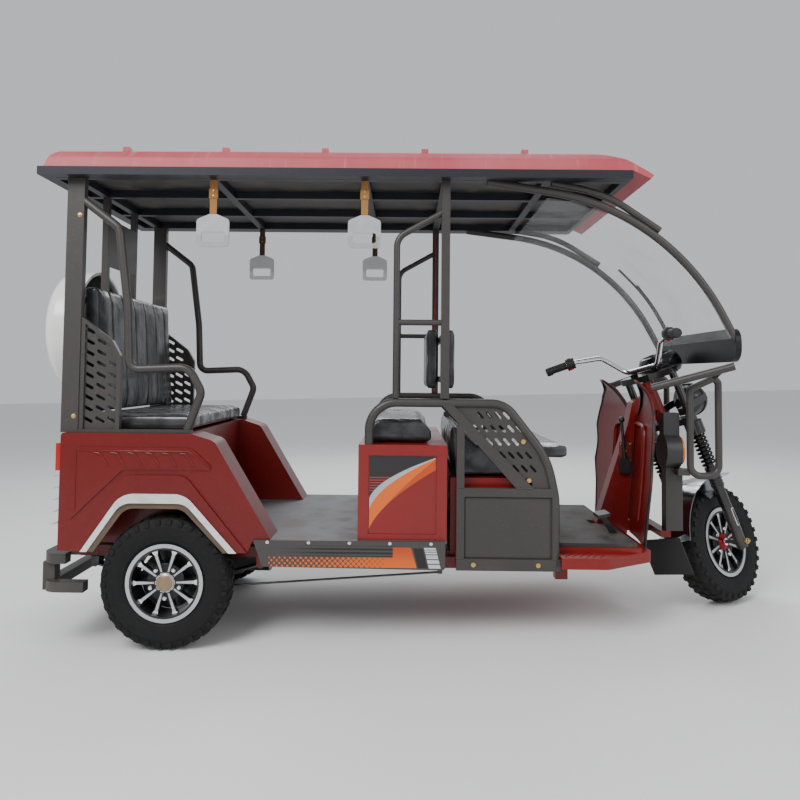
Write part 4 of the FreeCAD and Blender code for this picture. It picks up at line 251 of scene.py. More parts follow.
def paint(name, colour, place=BODY, rough=0.32, coat=0.5, dust=0.35, dusty_below=0.45):
    """Sprayed paint with a little orange peel, and road dust that thickens towards the ground."""
    shader = Shader(name, place, Coat_Roughness=0.12, Specular_IOR_Level=0.32)
    patches = shader.noise(7, 6)
    dirt = shader.z.fade(dusty_below, 0.1) * patches.fade(0.35, 0.75) * dust
    specks = shader.noise(140, 2).fade(0.62, 0.72) * dust * 0.5
    cover = dirt.most(specks)
    tint = shader.blend(shader.noise(2.2, 3).fade(0.3, 0.7), colour, darker(colour, 0.86))
    shader.set("Base Color", shader.blend(cover, tint, DUST))
    shader.set("Roughness", rough + cover * 0.5 + shader.noise(30, 3) * 0.06)
    shader.set("Coat Weight", coat * (1 - cover))
    shader.bump(shader.noise(160, 2), 0.00012)
    return shader


red_paint = paint("deep_red_paint", RED, rough=0.34, coat=0.18, dust=0.15)
bright_paint = paint("bright_red_paint", BRIGHT_RED, rough=0.34, coat=0.15, dust=0.15)
frame_paint = paint("charcoal_paint", CHARCOAL, rough=0.42, coat=0.12, dust=0.2)
roof_metal = paint("roof_frame_paint", (0.012, 0.012, 0.019), rough=0.5, coat=0.05, dust=0.12)
black_paint = paint("black_paint", (0.012, 0.012, 0.013), rough=0.4, coat=0.3, dust=0.3)
fork_paint = paint("fork_black_paint", (0.010, 0.010, 0.011), FORK, rough=0.25, coat=0.6, dust=0.2,
                   dusty_below=0.35)


def roof_finish():
    """Faded rose paint with rain streaks over the long sides."""
    shader = Shader("faded_roof_paint", BODY)
    streaks = shader.noise(9, 5, shader.vector(shader.x * 6, shader.y * 0.6, shader.z * 0.6))
    clouds = shader.noise(3, 6)
    tint = shader.blend(clouds.fade(0.3, 0.72), (0.35, 0.040, 0.055), (0.40, 0.080, 0.095))
    shader.set("Base Color", shader.blend(streaks.fade(0.55, 0.8) * 0.35, tint, (0.45, 0.26, 0.25)))
    shader.set("Roughness", 0.46 + clouds * 0.2)
    shader.bump(shader.noise(60, 3), 0.0003)
    return shader


def metal(name, colour, place=BODY, rough=0.22, smudge=0.2):
    """Bare or plated metal with smudges and fine scratches."""
    shader = Shader(name, place, Metallic=1.0)
    smear = shader.noise(18, 5)
    scratch = shader.noise(40, 2, shader.vector(shader.x * 2, shader.y * 30, shader.z * 2))
    shader.set("Base Color", shader.blend(smear.fade(0.45, 0.8) * 0.4, colour, darker(colour, 0.72)))
    shader.set("Roughness", rough + smear.fade(0.4, 0.8) * smudge + scratch * 0.05)
    shader.bump(scratch, 0.00004)
    return shader


chrome = metal("bright_chrome", (0.78, 0.79, 0.80), rough=0.07, smudge=0.12)
fork_chrome = metal("fork_chrome", (0.76, 0.77, 0.78), FORK, rough=0.08, smudge=0.15)
brass = metal("brass_plate", (0.62, 0.42, 0.16), rough=0.3)
pale_metal = metal("pale_tail_metal", (0.55, 0.55, 0.54), rough=0.38)
dull_steel = metal("dull_spring_steel", (0.10, 0.10, 0.105), rough=0.42)


def tyre_finish(place):
    """Worn rubber with fine rings on its walls and dust in its grooves."""
    shader = Shader("tyre_rubber_" + place, WHEELS.get(place, SPARE), Specular_IOR_Level=0.3)
    reach = shader.reach()
    dusty = reach.fade(0.215, 0.238) * shader.noise(24, 5).fade(0.35, 0.7)
    rings = (reach * 900).sine() * reach.below(0.214)
    shader.set("Base Color", shader.blend(dusty * 0.3, (0.0050, 0.0050, 0.0055), (0.050, 0.043, 0.036)))
    shader.set("Roughness", 0.62 + shader.noise(50, 3) * 0.25)
    shader.bump(shader.noise(220, 3) + rings * 0.5, 0.0004)
    return shader


SPOKE_COUNT, SPOKE_FACE, LIP_FACE = 10, -0.038, -0.0495


def wheel_finish(place, hub_colour):
    """Gloss black alloy with bright machined spokes and lip, and a painted or plated hub."""
    shader = Shader("alloy_" + place, WHEELS[place])
    reach = shader.reach()
    face = shader.y.between(SPOKE_FACE - 0.0005, SPOKE_FACE + 0.0005)
    beside = abs((shader.z.angle_with(shader.x) * (SPOKE_COUNT / 2)).sine()) * reach * (2 / SPOKE_COUNT)
    spokes = face * reach.above(0.04) * (beside - reach.fade(0.04, 0.11) * 0.0025).below(0.0030)
    lip = reach.above(0.127) * shader.y.below(LIP_FACE)
    bright = spokes.most(lip)
    hub = reach.below(0.036) * shader.y.below(-0.01)
    turning = (reach * 5200).sine() * bright
    base = shader.blend(bright, (0.009, 0.009, 0.010), (0.58, 0.58, 0.59))
    shader.set("Base Color", shader.blend(hub, base, hub_colour))
    shader.set("Metallic", bright.most(hub * 0.9))
    shader.set("Roughness", 0.26 + shader.noise(30, 4) * 0.14)
    shader.bump(turning + shader.noise(90, 2) * 0.5, 0.00006)
    return shader


def wrapped_vinyl(name, colour, gloss):
    """Black vinyl under a clear wrap gone glossy and creased, with painted shade in the hollows of each
    fold.
    """
    shader = Shader(name, BODY, Coat_Roughness=0.14, Specular_IOR_Level=0.35)
    fold_relief_and_shade = shader.noise(9, 5, shader.vector(shader.x * 1.2, shader.y * 2.4, shader.z * 1.4))
    creases = shader.noise(26, 3, shader.vector(shader.x, shader.y * 3, shader.z))
    grain = shader.cells(420)
    # Painted light and shade: the base colour is darker in the hollows and lighter on the crests of the fold
    # relief.
    shader.set("Base Color", shader.blend(fold_relief_and_shade.fade(0.35, 0.75), darker(colour, 0.4), colour))
    shader.set("Roughness", 0.30 + grain * 0.2)
    shader.set("Coat Weight", fold_relief_and_shade.fade(0.35, 0.65) * gloss)
    shader.bump(fold_relief_and_shade * 6 + creases * 2.2 + grain * 0.12, 0.0009)
    return shader


def plastic(name, colour, place=BODY, rough=0.35, coat=0.2):
    """Moulded plastic with a fine grain and handling marks."""
    shader = Shader(name, place, Specular_IOR_Level=0.3)
    marks = shader.noise(14, 5)
    shader.set("Base Color", shader.blend(marks.fade(0.4, 0.8) * 0.35, colour, darker(colour, 0.75)))
    shader.set("Roughness", rough + marks * 0.12)
    shader.set("Coat Weight", coat * marks.fade(0.8, 0.2))
    shader.bump(shader.noise(300, 2), 0.00008)
    return shader


def ribbed(name, colour, pitch, depth, place=BODY, dust=0.4):
    """Rubber or sheet with raised ribs across the vehicle."""
    shader = Shader(name, place)
    ribs = shader.y.waves(pitch)
    dirt = shader.noise(11, 6).fade(0.4, 0.75)
    shader.set("Base Color", shader.blend(dirt * dust, colour, DUST))
    shader.set("Roughness", 0.55 + dirt * 0.25)
    shader.bump(ribs + shader.noise(120, 2) * 0.3, depth)
    return shader


def clear_finish():
    """Clear bent sheet with a patchy film of dust."""
    shader = Shader("clear_sheet", BODY, IOR=1.45)
    film = shader.noise(6, 6).fade(0.4, 0.85)
    shader.set("Base Color", shader.blend(film, (0.86, 0.92, 0.93), (0.62, 0.63, 0.60)))
    shader.set("Roughness", 0.05 + film * 0.2)
    shader.set("Alpha", 0.07 + film * 0.10)
    return shader


def signal_finish():
    """Dark case behind an amber lens with moulded ribs."""
    shader = Shader("amber_signal", BODY)
    front = shader.x.above(1.062)
    ribs = shader.y.waves(0.006)
    shader.set("Base Color", shader.blend(front, (0.02, 0.02, 0.021), (0.85, 0.20, 0.015)))
    shader.set("Roughness", 0.4 - front * 0.24)
    shader.bump(ribs * front + shader.noise(200, 2) * 0.2, 0.0004)
    return shader


BOX_REAR, BOX_LONG, BOX_LOW, BOX_TALL = -0.151, 0.247, 0.426, 0.283


def box_finish():
    """The middle box: deep red, with a black field and orange sweeps on each side panel."""
    shader = Shader("swept_box_panel", BODY, Coat_Roughness=0.1)
    along = ((shader.x - BOX_REAR) / BOX_LONG).most(0.0001)
    rise = (shader.z - BOX_LOW) / BOX_TALL
    panel = abs(shader.y).between(0.4735, 0.4765) * along.between(0.012, 0.988) * rise.between(0.012, 0.988)
    stripes = rise.waves(0.0336).above(0.35) * rise.between(0.54, 0.73)
    base = shader.blend(shader.noise(3, 4).fade(0.3, 0.7), BRIGHT_RED, darker(BRIGHT_RED, 0.86))
    sweep, low_edge = along ** 0.52, 0.824 * along ** 0.62
    black_part = rise.above(0.387 + 0.588 * sweep)
    field = shader.blend(rise.above(low_edge), base, DEEP_ORANGE)
    field = shader.blend(rise.above((0.96 * along ** 0.72).most(low_edge)), field, ORANGE)
    field = shader.blend(rise.above(0.227 + 0.739 * sweep), field, (0.34, 0.36, 0.38))
    field = shader.blend(black_part, field, (0.012, 0.010, 0.012))
    field = shader.blend(black_part * stripes, field, (0.30, 0.02, 0.02))
    shader.set("Base Color", shader.blend(panel, base, field))
    shader.set("Roughness", 0.32 + shader.noise(40, 3) * 0.1)
    shader.set("Coat Weight", 0.05 + shader.noise(12, 3) * 0.15)
    shader.bump(shader.noise(150, 2), 0.0001)
    return shader


SILL_LOW, SILL_TOP = 0.311, 0.381


def sill_finish():
    """Sill plates: charcoal with black streaks, orange cells that grow into a block, and a plated end with a
    painted reflection in bright and dark bands.
    """
    shader = Shader("sill_decoration", BODY)
    x, z = shader.x, shader.z
    drop = SILL_TOP - z
    slanted = x - drop * 0.25
    streaks = (z - 0.345).waves(0.0135).fade(-0.3, 0.3) * z.between(0.349, 0.387)
    streaks = streaks * x.fade(-0.49, -0.30) * x.below(-0.058)
    cells = abs(((x + z) * 165).sine() * ((x - z) * 165).sine())
    low_band = z.between(SILL_LOW, 0.347) * x.above(-0.505)
    cells = cells.above(x.fade(-0.52, -0.06) * -0.62 + 0.66) * low_band * x.below(-0.085)
    solid = low_band * x.above(-0.092)
    block_top = z.between(SILL_LOW, 0.383) * x.above(-0.060)
    orange = cells.most(solid).most(block_top) * (x - drop * 0.30).below(0.005)
    dark = slanted.between(0.013, 0.047) * z.between(SILL_LOW, SILL_TOP)
    plated = slanted.between(0.052, 0.094) * z.between(0.307, 0.383)
    # Painted reflection: bright and dark bands across the plated end stand for the light and shade it
    # mirrors.
    painted_reflection_bands = (z.waves(0.0085) + (z * 410).sine() * 0.6).above(0.5)
    base = shader.blend(streaks.most(dark), CHARCOAL, (0.008, 0.007, 0.007))
    base = shader.blend(orange, base, shader.blend(drop.fade(0.0, 0.07), DEEP_ORANGE, ORANGE))
    bright = shader.blend(painted_reflection_bands, (0.62, 0.63, 0.66), (0.10, 0.10, 0.11))
    shader.set("Base Color", shader.blend(plated, base, bright))
    shader.set("Metallic", plated * 0.8)
    shader.set("Roughness", 0.42 - plated * 0.2 + shader.noise(22, 4) * 0.14)
    shader.bump(shader.noise(120, 2) + orange * 0.4, 0.00015)
    return shader


def grip_finish():
    """Pale moulded plastic, a little see-through, with painted shade on the near side."""
    shader = Shader("pale_grip_plastic_painted_shade", BODY)
    cloud = shader.noise(30, 3)
    # Painted shade: one plastic, painted about half as bright on the near side (y below 0) as on the far
    # side.
    tint = shader.blend(shader.y.above(0), (0.30, 0.315, 0.335), (0.66, 0.68, 0.70))
    shader.set("Base Color", shader.blend(cloud * 0.3, tint, (0.60, 0.62, 0.63)))
    shader.set("Roughness", 0.28 + cloud * 0.12)
    shader.set("Alpha", 0.60 + shader.z.fade(1.508, 1.516) * 0.35 + cloud * 0.04)
    shader.bump(shader.noise(180, 2), 0.0002)
    return shader


def strap_finish():
    """Woven webbing, orange on the near side and brown on the far side, where the brown is the same orange
    with painted shade.
    """
    shader = Shader("strap_webbing", BODY)
    weave = (shader.x * 3900).sine() * (shader.z * 2600).sine()
    # Painted shade: the far-side webbing is the near-side tan darkened.
    base = shader.blend(shader.y.above(0), TAN, TAN_IN_PAINTED_SHADE)
    shader.set("Base Color", shader.blend(weave.fade(-1, 1) * 0.3, base, (0.05, 0.03, 0.02)))
    shader.set("Roughness", 0.8 + weave * 0.05)
    shader.bump(weave, 0.0005)
    return shader


def cover_finish():
    """White domed cover with grey road film low down."""
    shader = Shader("white_cover", BODY)
    film = shader.noise(5, 6).fade(0.35, 0.8) * shader.z.fade(1.15, 0.7)
    shader.set("Base Color", shader.blend(film * 0.5, (0.74, 0.74, 0.72), (0.36, 0.34, 0.31)))
    shader.set("Roughness", 0.24 + film * 0.3)
    shader.set("Coat Weight", 0.4 - film * 0.3)
    shader.bump(shader.noise(40, 2), 0.0003)
    return shader


floor_finish = Shader("studio_floor")
floor_tint = floor_finish.blend(floor_finish.noise(1.2, 4), (0.74, 0.74, 0.73), (0.78, 0.78, 0.77))
floor_finish.set("Base Color", floor_tint)
floor_finish.set("Roughness", 0.85 + floor_finish.noise(20, 2) * 0.1)

roof_paint = roof_finish()
# One vinyl in two copies: the seat pads are painted lighter than the backs, as painted light on their upward
# faces.
back_vinyl = wrapped_vinyl("wrapped_back_vinyl", (0.024, 0.027, 0.031), 0.45)
seat_vinyl_painted_lighter = wrapped_vinyl("wrapped_seat_vinyl_painted_lighter", (0.040, 0.042, 0.047), 0.9)
strap_webbing = strap_finish()
black_plastic = plastic("black_plastic", (0.010, 0.010, 0.011))
panel_plastic = plastic("screen_panel_plastic", (0.003, 0.003, 0.0035), rough=0.30, coat=0.0)
gloss_black = plastic("gloss_black_housing", (0.006, 0.006, 0.007), FORK, rough=0.12, coat=0.5)
fork_plastic = plastic("fork_black_plastic", (0.014, 0.014, 0.015), FORK, rough=0.3, coat=0.4)
grip_rubber = ribbed("grip_rubber", (0.008, 0.008, 0.009), 0.005, 0.0006, FORK, 0.05)
flap_rubber = plastic("flap_rubber", (0.022, 0.022, 0.023), FORK, rough=0.6, coat=0.0)
mat_rubber = ribbed("ribbed_mat", (0.020, 0.020, 0.021), 0.009, 0.0012)
deck_sheet = ribbed("grey_deck_sheet", (0.095, 0.100, 0.112), 0.022, 0.0003)
liner_cloth = ribbed("roof_liner_cloth", (0.026, 0.025, 0.026), 0.004, 0.0003)
lens_red = plastic("red_lens", (0.42, 0.010, 0.008), rough=0.1, coat=0.8)
arch_metal = metal("polished_arch_trim", (0.74, 0.74, 0.75), rough=0.12, smudge=0.15)
fender_metal = metal("dark_plated_fender", (0.30, 0.31, 0.32), FORK, rough=0.14)

FINISHES = {
    red_paint: ["chassis_frame", "quarter_panels", "leg_shield", "seat_base"],
    bright_paint: ["driver_seat_box", "front_floor_pan"],
    frame_paint: ["rear_bumper", "rear_frame", "rear_side_guards", "grab_rails", "middle_pillars",
                  "side_frames", "grab_loops", "windscreen_frame", "front_guard", "nose_posts"],
    roof_metal: ["roof_frame"],
    black_paint: ["rear_axle", "driver_controls"],
    fork_paint: ["fork"],
    roof_paint: ["roof_shell"],
    fork_chrome: ["handlebar"],
    gloss_black: ["instrument_pod"],
    dull_steel: ["leaf_springs"],
    deck_sheet: ["floor_deck"],
    liner_cloth: ["roof_liner"],
    mat_rubber: ["floor_mat"],
    flap_rubber: ["mud_flap"],
    grip_rubber: ["bar_grips"],
    lens_red: ["tail_lamps"],
    arch_metal: ["arch_trims"],
    fender_metal: ["front_fender"],
    panel_plastic: ["screen_panel"],
    black_plastic: ["battery_pack"],
    fork_plastic: ["headlamp"],
    signal_finish(): ["front_signals"],
    box_finish(): ["middle_box"],
    sill_finish(): ["sill_plates"],
    clear_finish(): ["windscreen"],
    grip_finish(): ["hand_grips"],
    strap_webbing: ["hand_straps"],
    cover_finish(): ["spare_cover"],
    wheel_finish("rear_wheel_right", PALE_HUB): ["rim_rear_right"],
    wheel_finish("rear_wheel_left", PALE_HUB): ["rim_rear_left"],
    wheel_finish("front_wheel", RED_HUB): ["rim_front"],
    tyre_finish("spare"): ["spare_tyre"],
}


def dress(item, shader):
    """Give a piece one finish."""
    item.data.materials.clear()
    item.data.materials.append(shader.material)


for shader, labels in FINISHES.items():
    for label in labels:
        dress(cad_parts[label], shader)


def fresh():
    """Leave edit mode, with nothing selected."""
    if bpy.context.object and bpy.context.object.mode != "OBJECT":
        bpy.ops.object.mode_set(mode="OBJECT")
    bpy.ops.object.select_all(action="DESELECT")


def named(name):
    """Name the piece just added and set its place into its mesh."""
    item = bpy.context.object
    item.name = item.data.name = name
    bpy.ops.object.transform_apply(location=True, rotation=True, scale=True)
    return item


def pick(item):
    """Select one piece alone."""
    fresh()
    item.select_set(True)
    bpy.context.view_layer.objects.active = item
    return item


def soften(item, width):
    """Round the edges of a piece."""
    pick(item)
    edge = item.modifiers.new("rounding", "BEVEL")
    edge.width = width
    edge.segments = 2
    edge.limit_method = "ANGLE"
    bpy.ops.object.modifier_apply(modifier=edge.name)
    bpy.ops.object.shade_smooth_by_angle(angle=math.radians(35))
    return item


def facing(way):
    """The turn that brings the upright axis along a direction."""
    return Vector(way).to_track_quat("Z", "Y").to_euler()


def block(name, low, high, round_off=0.001):
    """A rounded block between two corners."""
    fresh()
    low, high = Vector(low), Vector(high)
    bpy.ops.mesh.primitive_cube_add(size=1, location=(low + high) / 2)
    bpy.context.object.scale = high - low
    return soften(named(name), round_off)


def drum(name, radius, start, end, sides=32, round_off=0.001, cone=1.0):
    """A round bar between two points, with rounded or tapered ends."""
    fresh()
    start, end = Vector(start), Vector(end)
    way = end - start
    bpy.ops.mesh.primitive_cone_add(vertices=sides, radius1=radius, radius2=radius * cone,
                                    depth=way.length, location=(start + end) / 2, rotation=facing(way))
    return soften(named(name), round_off)


def hoop(name, radius, thick, centre, normal, sides=48):
    """A round ring of round section."""
    fresh()
    bpy.ops.mesh.primitive_torus_add(major_radius=radius, minor_radius=thick, major_segments=sides,
                                     minor_segments=12, location=centre, rotation=facing(normal))
    item = named(name)
    bpy.ops.object.shade_smooth()
    return item


def rod(name, points, radius, smooth=True):
    """A round rod or wire along points, as a mesh."""
    fresh()
    path = bpy.data.curves.new(name, "CURVE")
    path.dimensions = "3D"
    path.bevel_depth = radius
    path.bevel_resolution = 3
    path.use_fill_caps = True
    line = path.splines.new("NURBS" if smooth else "POLY")
    line.points.add(len(points) - 1)
    for knot, point in zip(line.points, points):
        knot.co = (*point, 1)
    if smooth:
        line.order_u = 3
        line.use_endpoint_u = True
    item = bpy.data.objects.new(name, path)
    bpy.context.collection.objects.link(item)
    pick(item)
    bpy.ops.object.convert(target="MESH")
    bpy.ops.object.shade_smooth()
    return bpy.context.object


def shaped(name, outline, view, low, high, round_off=0.001):
    """A closed outline in the side or front view, pulled out between two places."""
    fresh()
    bpy.ops.mesh.primitive_circle_add(vertices=len(outline), fill_type="NGON")
    item = bpy.context.object
    for vertex, (level, height) in zip(item.data.vertices, outline):
        vertex.co = (level, low, height) if view == "side" else (low, level, height)
    way = (0, high - low, 0) if view == "side" else (high - low, 0, 0)
    bpy.ops.object.mode_set(mode="EDIT")
    bpy.ops.mesh.select_all(action="SELECT")
    bpy.ops.mesh.extrude_region_move(TRANSFORM_OT_translate={"value": way})
    bpy.ops.mesh.select_all(action="SELECT")
    bpy.ops.mesh.normals_make_consistent(inside=False)
    bpy.ops.object.mode_set(mode="OBJECT")
    return soften(named(name), round_off)


def lathe(name, outline, steps=64):
    """A closed outline of (radius, place along Y) spun about the Y axis."""
    fresh()
    bpy.ops.mesh.primitive_circle_add(vertices=len(outline), fill_type="NOTHING")
    item = bpy.context.object
    for vertex, (radius, along) in zip(item.data.vertices, outline):
        vertex.co = (radius, along, 0)
    bpy.ops.object.mode_set(mode="EDIT")
    bpy.ops.mesh.select_all(action="SELECT")
    bpy.ops.mesh.spin(steps=steps, angle=2 * math.pi, center=(0, 0, 0), axis=(0, 1, 0))
    bpy.ops.mesh.select_all(action="SELECT")
    bpy.ops.mesh.remove_doubles(threshold=0.00001)
    bpy.ops.mesh.normals_make_consistent(inside=False)
    bpy.ops.object.mode_set(mode="OBJECT")
    item = named(name)
    bpy.ops.object.shade_smooth_by_angle(angle=math.radians(40))
    return item


def copied(item, matrix):
    """The same piece in another place, with its own mesh."""
    other = item.copy()
    other.data = item.data.copy()
    bpy.context.collection.objects.link(other)
    other.data.transform(matrix)
    if matrix.determinant() < 0:
        other.data.flip_normals()
    return other


def joined(name, items):
    """Several pieces as one."""
    fresh()
    for item in items:
        item.select_set(True)
    bpy.context.view_layer.objects.active = items[0]
    bpy.ops.object.join()
    item = bpy.context.object
    item.name = item.data.name = name
    return item


def discard(*items):
    for item in items:
        bpy.data.objects.remove(item)


def spun(count, total):
    """The turn about an axle to one of several even places."""
    return Matrix.Rotation(2 * math.pi * count / total, 4, "Y")


def fit(item, body, shader, replaces=()):
    """Set a finished piece at its place on a body, in its finish."""
    item.data.transform(STANDS[body])
    item.data.update()
    dress(item, shader)
    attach(item, body)
    if replaces:
        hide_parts(*replaces)


def fit_both_sides(name, items, body, shader):
    """Fit pieces of the right side together with their mirror images."""
    fit(joined(name, [*items, *(copied(item, MIRROR) for item in items)]), body, shader)


# Floor.
FLOOR_SIZE = 60
fresh()
bpy.ops.mesh.primitive_plane_add(size=FLOOR_SIZE)
floor = named("studio_floor")
dress(floor, floor_finish)

# Tyres: a carcass with raised rings on its walls, and lugs in four rows around the tread.
TYRE_TOP, GROOVE, TYRE_HALF = WHEEL_RADIUS, 0.2335, 0.0575
wall = [(0.127, 0.043), (0.141, 0.043), (0.150, 0.0495), (0.153, 0.0525), (0.156, 0.0525),
        (0.160, 0.0545), (0.186, TYRE_HALF), (0.200, 0.0570), (0.203, 0.0575), (0.206, 0.0565),
        (0.216, 0.0545), (0.227, 0.0500), (GROOVE - 0.001, 0.0440), (GROOVE + 0.0015, 0.020)]
carcass_line = [(radius, -along) for radius, along in wall] + wall[::-1]
LUG_COUNT = 34


def tyre(name):
    """A carcass with tread lugs and wall knobs all round."""
    carcass = lathe(name, carcass_line, 72)
    centre = block("centre_lug", (-0.0145, 0.0035, GROOVE - 0.002),
                   (0.0145, 0.0205, TYRE_TOP - 0.0002), 0.0015)
    shoulder = block("shoulder_lug", (-0.0125, 0.0255, GROOVE - 0.022),
                     (0.0125, 0.0540, TYRE_TOP - 0.0012), 0.002)
    for lug, lean, middle in ((centre, 22, 0.013), (shoulder, -12, 0.036)):
        spot = Vector((0, middle, 0))
        lug.data.transform(Matrix.Translation(spot) @ Matrix.Rotation(math.radians(lean), 4, "Z")
                           @ Matrix.Translation(-spot))
    for vertex in shoulder.data.vertices:
        if vertex.co.y > 0.045:
            vertex.co.z -= 0.0120
    knob = block("wall_knob", (-0.0095, 0.0480, 0.2085), (0.0095, 0.0588, 0.2285), 0.002)
    lugs = []
    for count in range(LUG_COUNT):
        turn, offset = spun(count, LUG_COUNT), spun(count + 0.5, LUG_COUNT)
        for lug in (centre, shoulder, knob):
            lugs += [copied(lug, turn), copied(lug, offset @ MIRROR)]
    discard(centre, shoulder, knob)
    return joined(name, [carcass, *lugs])


for place, node in (("rear_wheel_right", "tyre_rear_right"), ("rear_wheel_left", "tyre_rear_left"),
                    ("front_wheel", "tyre_front")):
    fit(tyre("treaded_" + node), place, tyre_finish(place), [node])

# Raised hub centre, dark backing, five wheel nuts, and the foot of each spoke.
NUT_COUNT, NUT_RING, NUT_SEAT = 5, 0.055, -0.0345
BACKING_INSIDE, BACKING_OUTSIDE = 0.0835, 0.106
CAP_SEAT = -0.0445
hub_bronze = metal("engraved_hub_cap", (0.34, 0.26, 0.17), rough=0.34)
for place in WHEELS:
    if place == "front_wheel":
        cap, cap_finish = drum("hub_centre", 0.0155, (0, CAP_SEAT, 0), (0, -0.051, 0), 32, 0.002), chrome
    else:
        cap_finish = hub_bronze
        cap = joined("hub_centre", [
            drum("hub_disc", 0.0300, (0, CAP_SEAT, 0), (0, LIP_FACE, 0), 48, 0.002, 0.94),
            hoop("hub_ring", 0.0205, 0.0012, (0, LIP_FACE, 0), (0, 1, 0)),
            drum("hub_boss", 0.0120, (0, -0.0490, 0), (0, -0.0508, 0), 6)])
    fit(cap, place, cap_finish)
    backing = [lathe("hub_flange", [(0.034, -0.026), (0.034, -0.035), (0.066, -0.035),
                                    (0.069, -0.032), (0.069, -0.026)]),
               lathe("dark_backing", [(BACKING_INSIDE, 0.020), (BACKING_OUTSIDE, 0.020),
                                      (BACKING_OUTSIDE, 0.024), (BACKING_INSIDE, 0.024)])]
    fit(joined("wheel_backing_" + place, backing), place, black_plastic)
    nuts = []
    for count in range(NUT_COUNT):
        spot = spun(count + 0.25, NUT_COUNT) @ Vector((NUT_RING, NUT_SEAT, 0))
        nuts.append(drum("wheel_nut", 0.0092, spot, spot + Vector((0, -0.0120, 0)), 20, 0.003, 0.8))
    foot = shaped("spoke_foot", [(0.103, -0.0052), (0.1185, -0.0125), (0.1185, 0.0125), (0.103, 0.0052)],
                  "side", SPOKE_FACE - 0.0006, SPOKE_FACE + 0.008, 0.0008)
    nuts += [copied(foot, spun(count, SPOKE_COUNT)) for count in range(SPOKE_COUNT)]
    discard(foot)
    fit(joined("wheel_nuts_" + place, nuts), place, chrome)


def read_points(item, kind="co"):
    """The points of a piece, or their normals, as rows of three."""
    spots = np.empty(len(item.data.vertices) * 3)
    item.data.vertices.foreach_get(kind, spots)
    return spots.reshape(-1, 3)


def write_points(item, spots):
    item.data.vertices.foreach_set("co", spots.ravel())
    item.data.update()


def pressed(item, lines, depth, width, front):
    """Sew channels into the front of a pad, where each line is a place across the vehicle."""
    spots, normals = read_points(item), read_points(item, "normal")
    away = np.min([np.abs(spots[:, 1] - line) for line in lines], axis=0)
    toward = np.clip(normals @ np.array(front), 0, 1)
    write_points(item, spots - normals * (toward * depth * np.exp(-(away / width) ** 2))[:, None])


FILLING_STEPS = 20


def stuffed(item, swell, voxel=0.009):
    """Fill a pad by cloth simulation, where no point moves further than the swell."""
    pick(item)
    item.data.remesh_voxel_size = voxel
    bpy.ops.object.voxel_remesh()
    bpy.ops.object.shade_smooth()
    before = read_points(item)
    cloth = item.modifiers.new("filling", "CLOTH")
    cloth.settings.use_pressure = True
    cloth.settings.uniform_pressure_force = 4
    cloth.settings.effector_weights.gravity = 0
    cloth.settings.quality = 4
    cloth.collision_settings.use_self_collision = False
    cloth.point_cache.frame_end = FILLING_STEPS
    for step in range(1, FILLING_STEPS + 1):
        bpy.context.scene.frame_set(step)
    bpy.ops.object.modifier_apply(modifier=cloth.name)
    bpy.context.scene.frame_set(1)
    moved = read_points(item) - before
    length = np.maximum(np.linalg.norm(moved, axis=1), 1e-9)
    write_points(item, before + moved * np.minimum(1, swell / length)[:, None])
    finer = item.modifiers.new("finer", "SUBSURF")
    finer.levels = finer.render_levels = 1
    bpy.ops.object.modifier_apply(modifier=finer.name)
    return item


def kept_within(item, low, high):
    """Flatten a pad where it rests on what carries it."""
    write_points(item, np.clip(read_points(item), low, high))


FREE = 9.0
SEAT_HALF, DRIVER_HALF = 0.425, 0.400
AHEAD, UPWARD = (1, 0, 0), (0, 0, 1)
CHANNEL_WIDTH = 0.006


def seat_pad(name, node, outline, limits, half=SEAT_HALF, swell=0.009, fields=1, front=UPWARD, depth=0.006):
    """A stuffed seat or back: its side outline, drawn a little small, is filled and then sewn.

    The sewn lines part it across the vehicle into fields of one width.
    """
    item = stuffed(shaped(name, outline, "side", -half + swell * 0.8, half - swell * 0.8, 0.012), swell)
    if fields > 1:
        step = 2 * half / fields
        pressed(item, [-half + step * number for number in range(1, fields)], depth, CHANNEL_WIDTH, front)
    kept_within(item, *limits)
    fit(item, "body", back_vinyl if front == AHEAD else seat_vinyl_painted_lighter, [node])


seat_pad("rear_seat_pad", "rear_cushion",
         [(-1.243, 0.788), (-0.815, 0.788), (-0.815, 0.838), (-1.243, 0.838)],
         ((-1.2495, -SEAT_HALF, 0.7806), (-0.8035, SEAT_HALF, 0.856)), swell=0.012, fields=11)
seat_pad("rear_back_pad", "rear_backrest",
         [(-1.240, 0.845), (-1.156, 0.845), (-1.188, 1.330), (-1.240, 1.330)],
         ((-1.2495, -SEAT_HALF, 0.8510), (FREE, SEAT_HALF, 1.333)),
         swell=0.010, fields=7, front=AHEAD, depth=0.004)
seat_pad("bench_pad", "bench_cushion",
         [(-0.170, 0.754), (0.082, 0.754), (0.082, 0.792), (0.044, 0.829), (-0.132, 0.829), (-0.170, 0.792)],
         ((-0.176, -SEAT_HALF, 0.7476), (0.088, SEAT_HALF, 0.842)))
seat_pad("driver_pad", "driver_cushion",
         [(0.158, 0.630), (0.486, 0.630), (0.516, 0.703), (0.597, 0.703), (0.597, 0.739), (0.250, 0.739),
          (0.166, 0.820), (0.158, 0.820)],
         ((0.1505, -DRIVER_HALF, 0.6226), (0.606, DRIVER_HALF, 0.832)), half=DRIVER_HALF)
BACK_OUTLINE = [(-0.206, 0.945), (0.206, 0.945), (0.212, 0.955), (0.212, 1.180), (0.200, 1.190),
                (-0.200, 1.190), (-0.212, 1.180), (-0.212, 0.955)]
for name, low, high in (("bench_back_pad", 0.0625, 0.1112), ("driver_back_pad", 0.1378, 0.1780)):
    back = stuffed(shaped(name, BACK_OUTLINE, "front", low + 0.006, high - 0.006, 0.010), 0.007, 0.007)
    kept_within(back, (low, -0.220, 0.937), (high, 0.220, 1.198))
    fit(back, "body", back_vinyl, ["seat_backs"])

